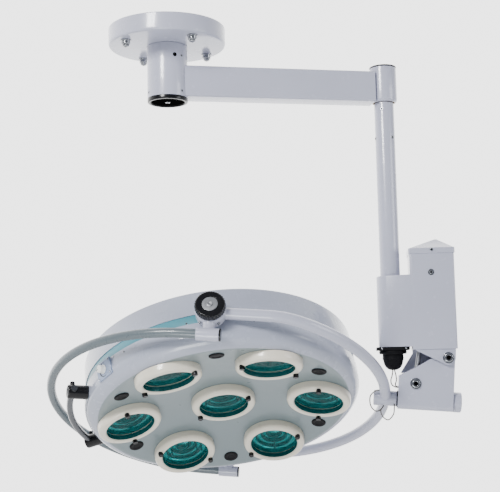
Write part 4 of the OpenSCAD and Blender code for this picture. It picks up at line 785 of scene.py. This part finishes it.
# === Switch plate ===
# Anodised plate on the front shell's side, held by four small screws. It carries
# the white dimmer knob and a printed black scale that widens at both ends.
SWITCH = finish("anodised_plate", (0.30, 0.36, 0.50), 0.32, metal=0.35, dirt=0.1, grain=0.2,
                grain_scale=1200)
WHITE = finish("white_plastic", (0.80, 0.80, 0.78), 0.3, coat=0.3, dirt=0.03)
SWITCH_AT = HEAD @ turn(2, -140) @ shift(SHELL_R, 0, -31.12) @ turn(1, 9) @ turn(1, 90) @ turn(2, 180)
piece("switch_plate_v", [prism(box_outline(-21, 21, -28, 28, 3), -1.6, 4, 1.0).at(SWITCH_AT)], SWITCH,
      "head", ["switch_plate"])
dial = fluted(rounded([[0, 4.5], [11, 4.5], [11, 7], [9.6, 8], [9.2, 18.5], [0, 18.5]],
                      [0, 0.5, 1, 0.5, 2, 0]), 60, 16, 0.4)
piece("dimmer_knob_v", [dial.at(SWITCH_AT)], WHITE, "dimmer", ["dimmer_knob"])
scale_a = np.radians(np.linspace(-20, 200, 30))
scale_line = np.column_stack([np.cos(scale_a), np.sin(scale_a)])
scale_in = scale_line * (14.2 + 2.4 * np.abs(np.linspace(-1, 1, 30)))[:, None]
piece("dimmer_scale", [prism(np.vstack([scale_line * 17.5, scale_in[::-1]]), 3.9, 4.25, 0).at(SWITCH_AT)],
      BLACK, "head")
piece("dimmer_mark", [prism(box_outline(-0.7, 0.7, 2, 9, 0.4), 18.4, 18.9, 0.1).at(SWITCH_AT)], BLACK,
      "dimmer")
plate_screw = screw_head(2.2, 1.1, 1.0)
piece("switch_screws", [plate_screw.at(SWITCH_AT @ shift(x, y, 4)) for x in (-16, 16) for y in (-23, 23)],
      CHROME, "head")

# === Shell screws ===
# Small countersunk screws hold the seam band and the front shell to the frame inside.
# Each is placed by its angle from the near end, its height and the shell's radius there.
shell_spots = [(10 + 60 * k, -3.5, 339) for k in range(6)] + [(44, -14, SHELL_R), (38, -19, SHELL_R)]
shell_spots += [(104 + 120 * k, -16, SHELL_R) for k in range(3)]
shell_frames = [HEAD @ turn(2, -90 - a) @ shift(r - 0.2, 0, z) @ turn(1, 90) for a, z, r in shell_spots]
piece("shell_screws", [screw_head(2.6, 1.1, 1.2).at(spot) for spot in shell_frames], CHROME, "head")
# Each shell screw's socket gets a black disc of painted shade.
for spot in shell_frames:
    hex_socket_shade(spot, "head", 1.4, 0.7)
# The painted socket shades of each body are joined into one black piece.
for body, shades in SOCKET_SHADES.items():
    piece("socket_shades_" + body, shades, SHADE_BLACK, body)

# === Inner pieces ===
# Machined parts that show only through gaps and where a housing is open: the spindle and spigot with
# their nuts, bushes, pins, the balance spring with its seat and rod, and the cast frame inside the head.
BRONZE = finish("sintered_bronze", (0.45, 0.30, 0.11), 0.42, metal=1.0, dirt=0.25, grain=0.3,
                grain_scale=1800)
ALUMINIUM = finish("mill_aluminium", (0.52, 0.53, 0.55), 0.4, metal=1.0, dirt=0.15, grain=0.15)
inner = {
    STEEL: ("ceiling_spindle", "spindle_nut", "drop_spigot", "spigot_nut", "spring_seat", "balance_spring",
            "spring_rod", "rod_nut", "yoke_shaft", "tilt_pins"),
    BRONZE: ("column_bushes", "hub_bushes", "shaft_bushes", "tilt_bushes"),
    ALUMINIUM: ("head_frame",),
}
for material, names in inner.items():
    for name in names:
        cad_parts[name].data.materials.clear()
        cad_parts[name].data.materials.append(material)

# === Floor and light ===
# Pale floor under the lamp, a soft key from the upper left front, a broad
# fill from the right and a low one. The studio is bright behind the lamp
# and dim on the camera's side, which gives the enamel its shading.
FLOOR_R, FLOOR_Z = 7000, -3400
FLOOR_PAINT = finish("floor_paint", (0.8, 0.8, 0.8), 0.6, dirt=0.03)
floor = piece("floor", [revolve([[FLOOR_R, FLOOR_Z], [0, FLOOR_Z]], 64)], FLOOR_PAINT, None)
world = bpy.data.worlds.new("studio")
world.use_nodes = True
sky = Field(world, world.node_tree.nodes.new("ShaderNodeTexCoord").outputs["Generated"])
towards_back = sky.node("ShaderNodeSeparateXYZ", {0: sky}, out=1).mask(-0.3, 0.75)
background = world.node_tree.nodes["Background"].inputs
studio_colour = towards_back.colours((0.075, 0.08, 0.09), (1.0, 1.0, 1.0))
world.node_tree.links.new(studio_colour.socket, background[0])
background[1].default_value = 3.4
bpy.context.scene.world = world


def soft_box(name, where, aim, size, power, colour=(1, 1, 1)):
    """Square area light at where, turned to face a point."""
    light = bpy.data.lights.new(name, "AREA")
    light.size, light.energy, light.color = size, power, colour
    made = bpy.data.objects.new(name, light)
    bpy.context.scene.collection.objects.link(made)
    made.location = where
    made.rotation_euler = (Vector(aim) - Vector(where)).to_track_quat("-Z", "Y").to_euler()


soft_box("key", (-1.7, -2.3, 0.9), (0.2, 0.0, -0.6), 0.8, 120)
soft_box("fill", (2.6, -1.6, -0.1), (0.3, 0.0, -0.6), 1.2, 26, (0.95, 0.97, 1.0))
soft_box("under", (-0.6, -1.5, -1.8), (0.0, 0.1, -0.9), 0.7, 16, (0.95, 1.0, 1.0))
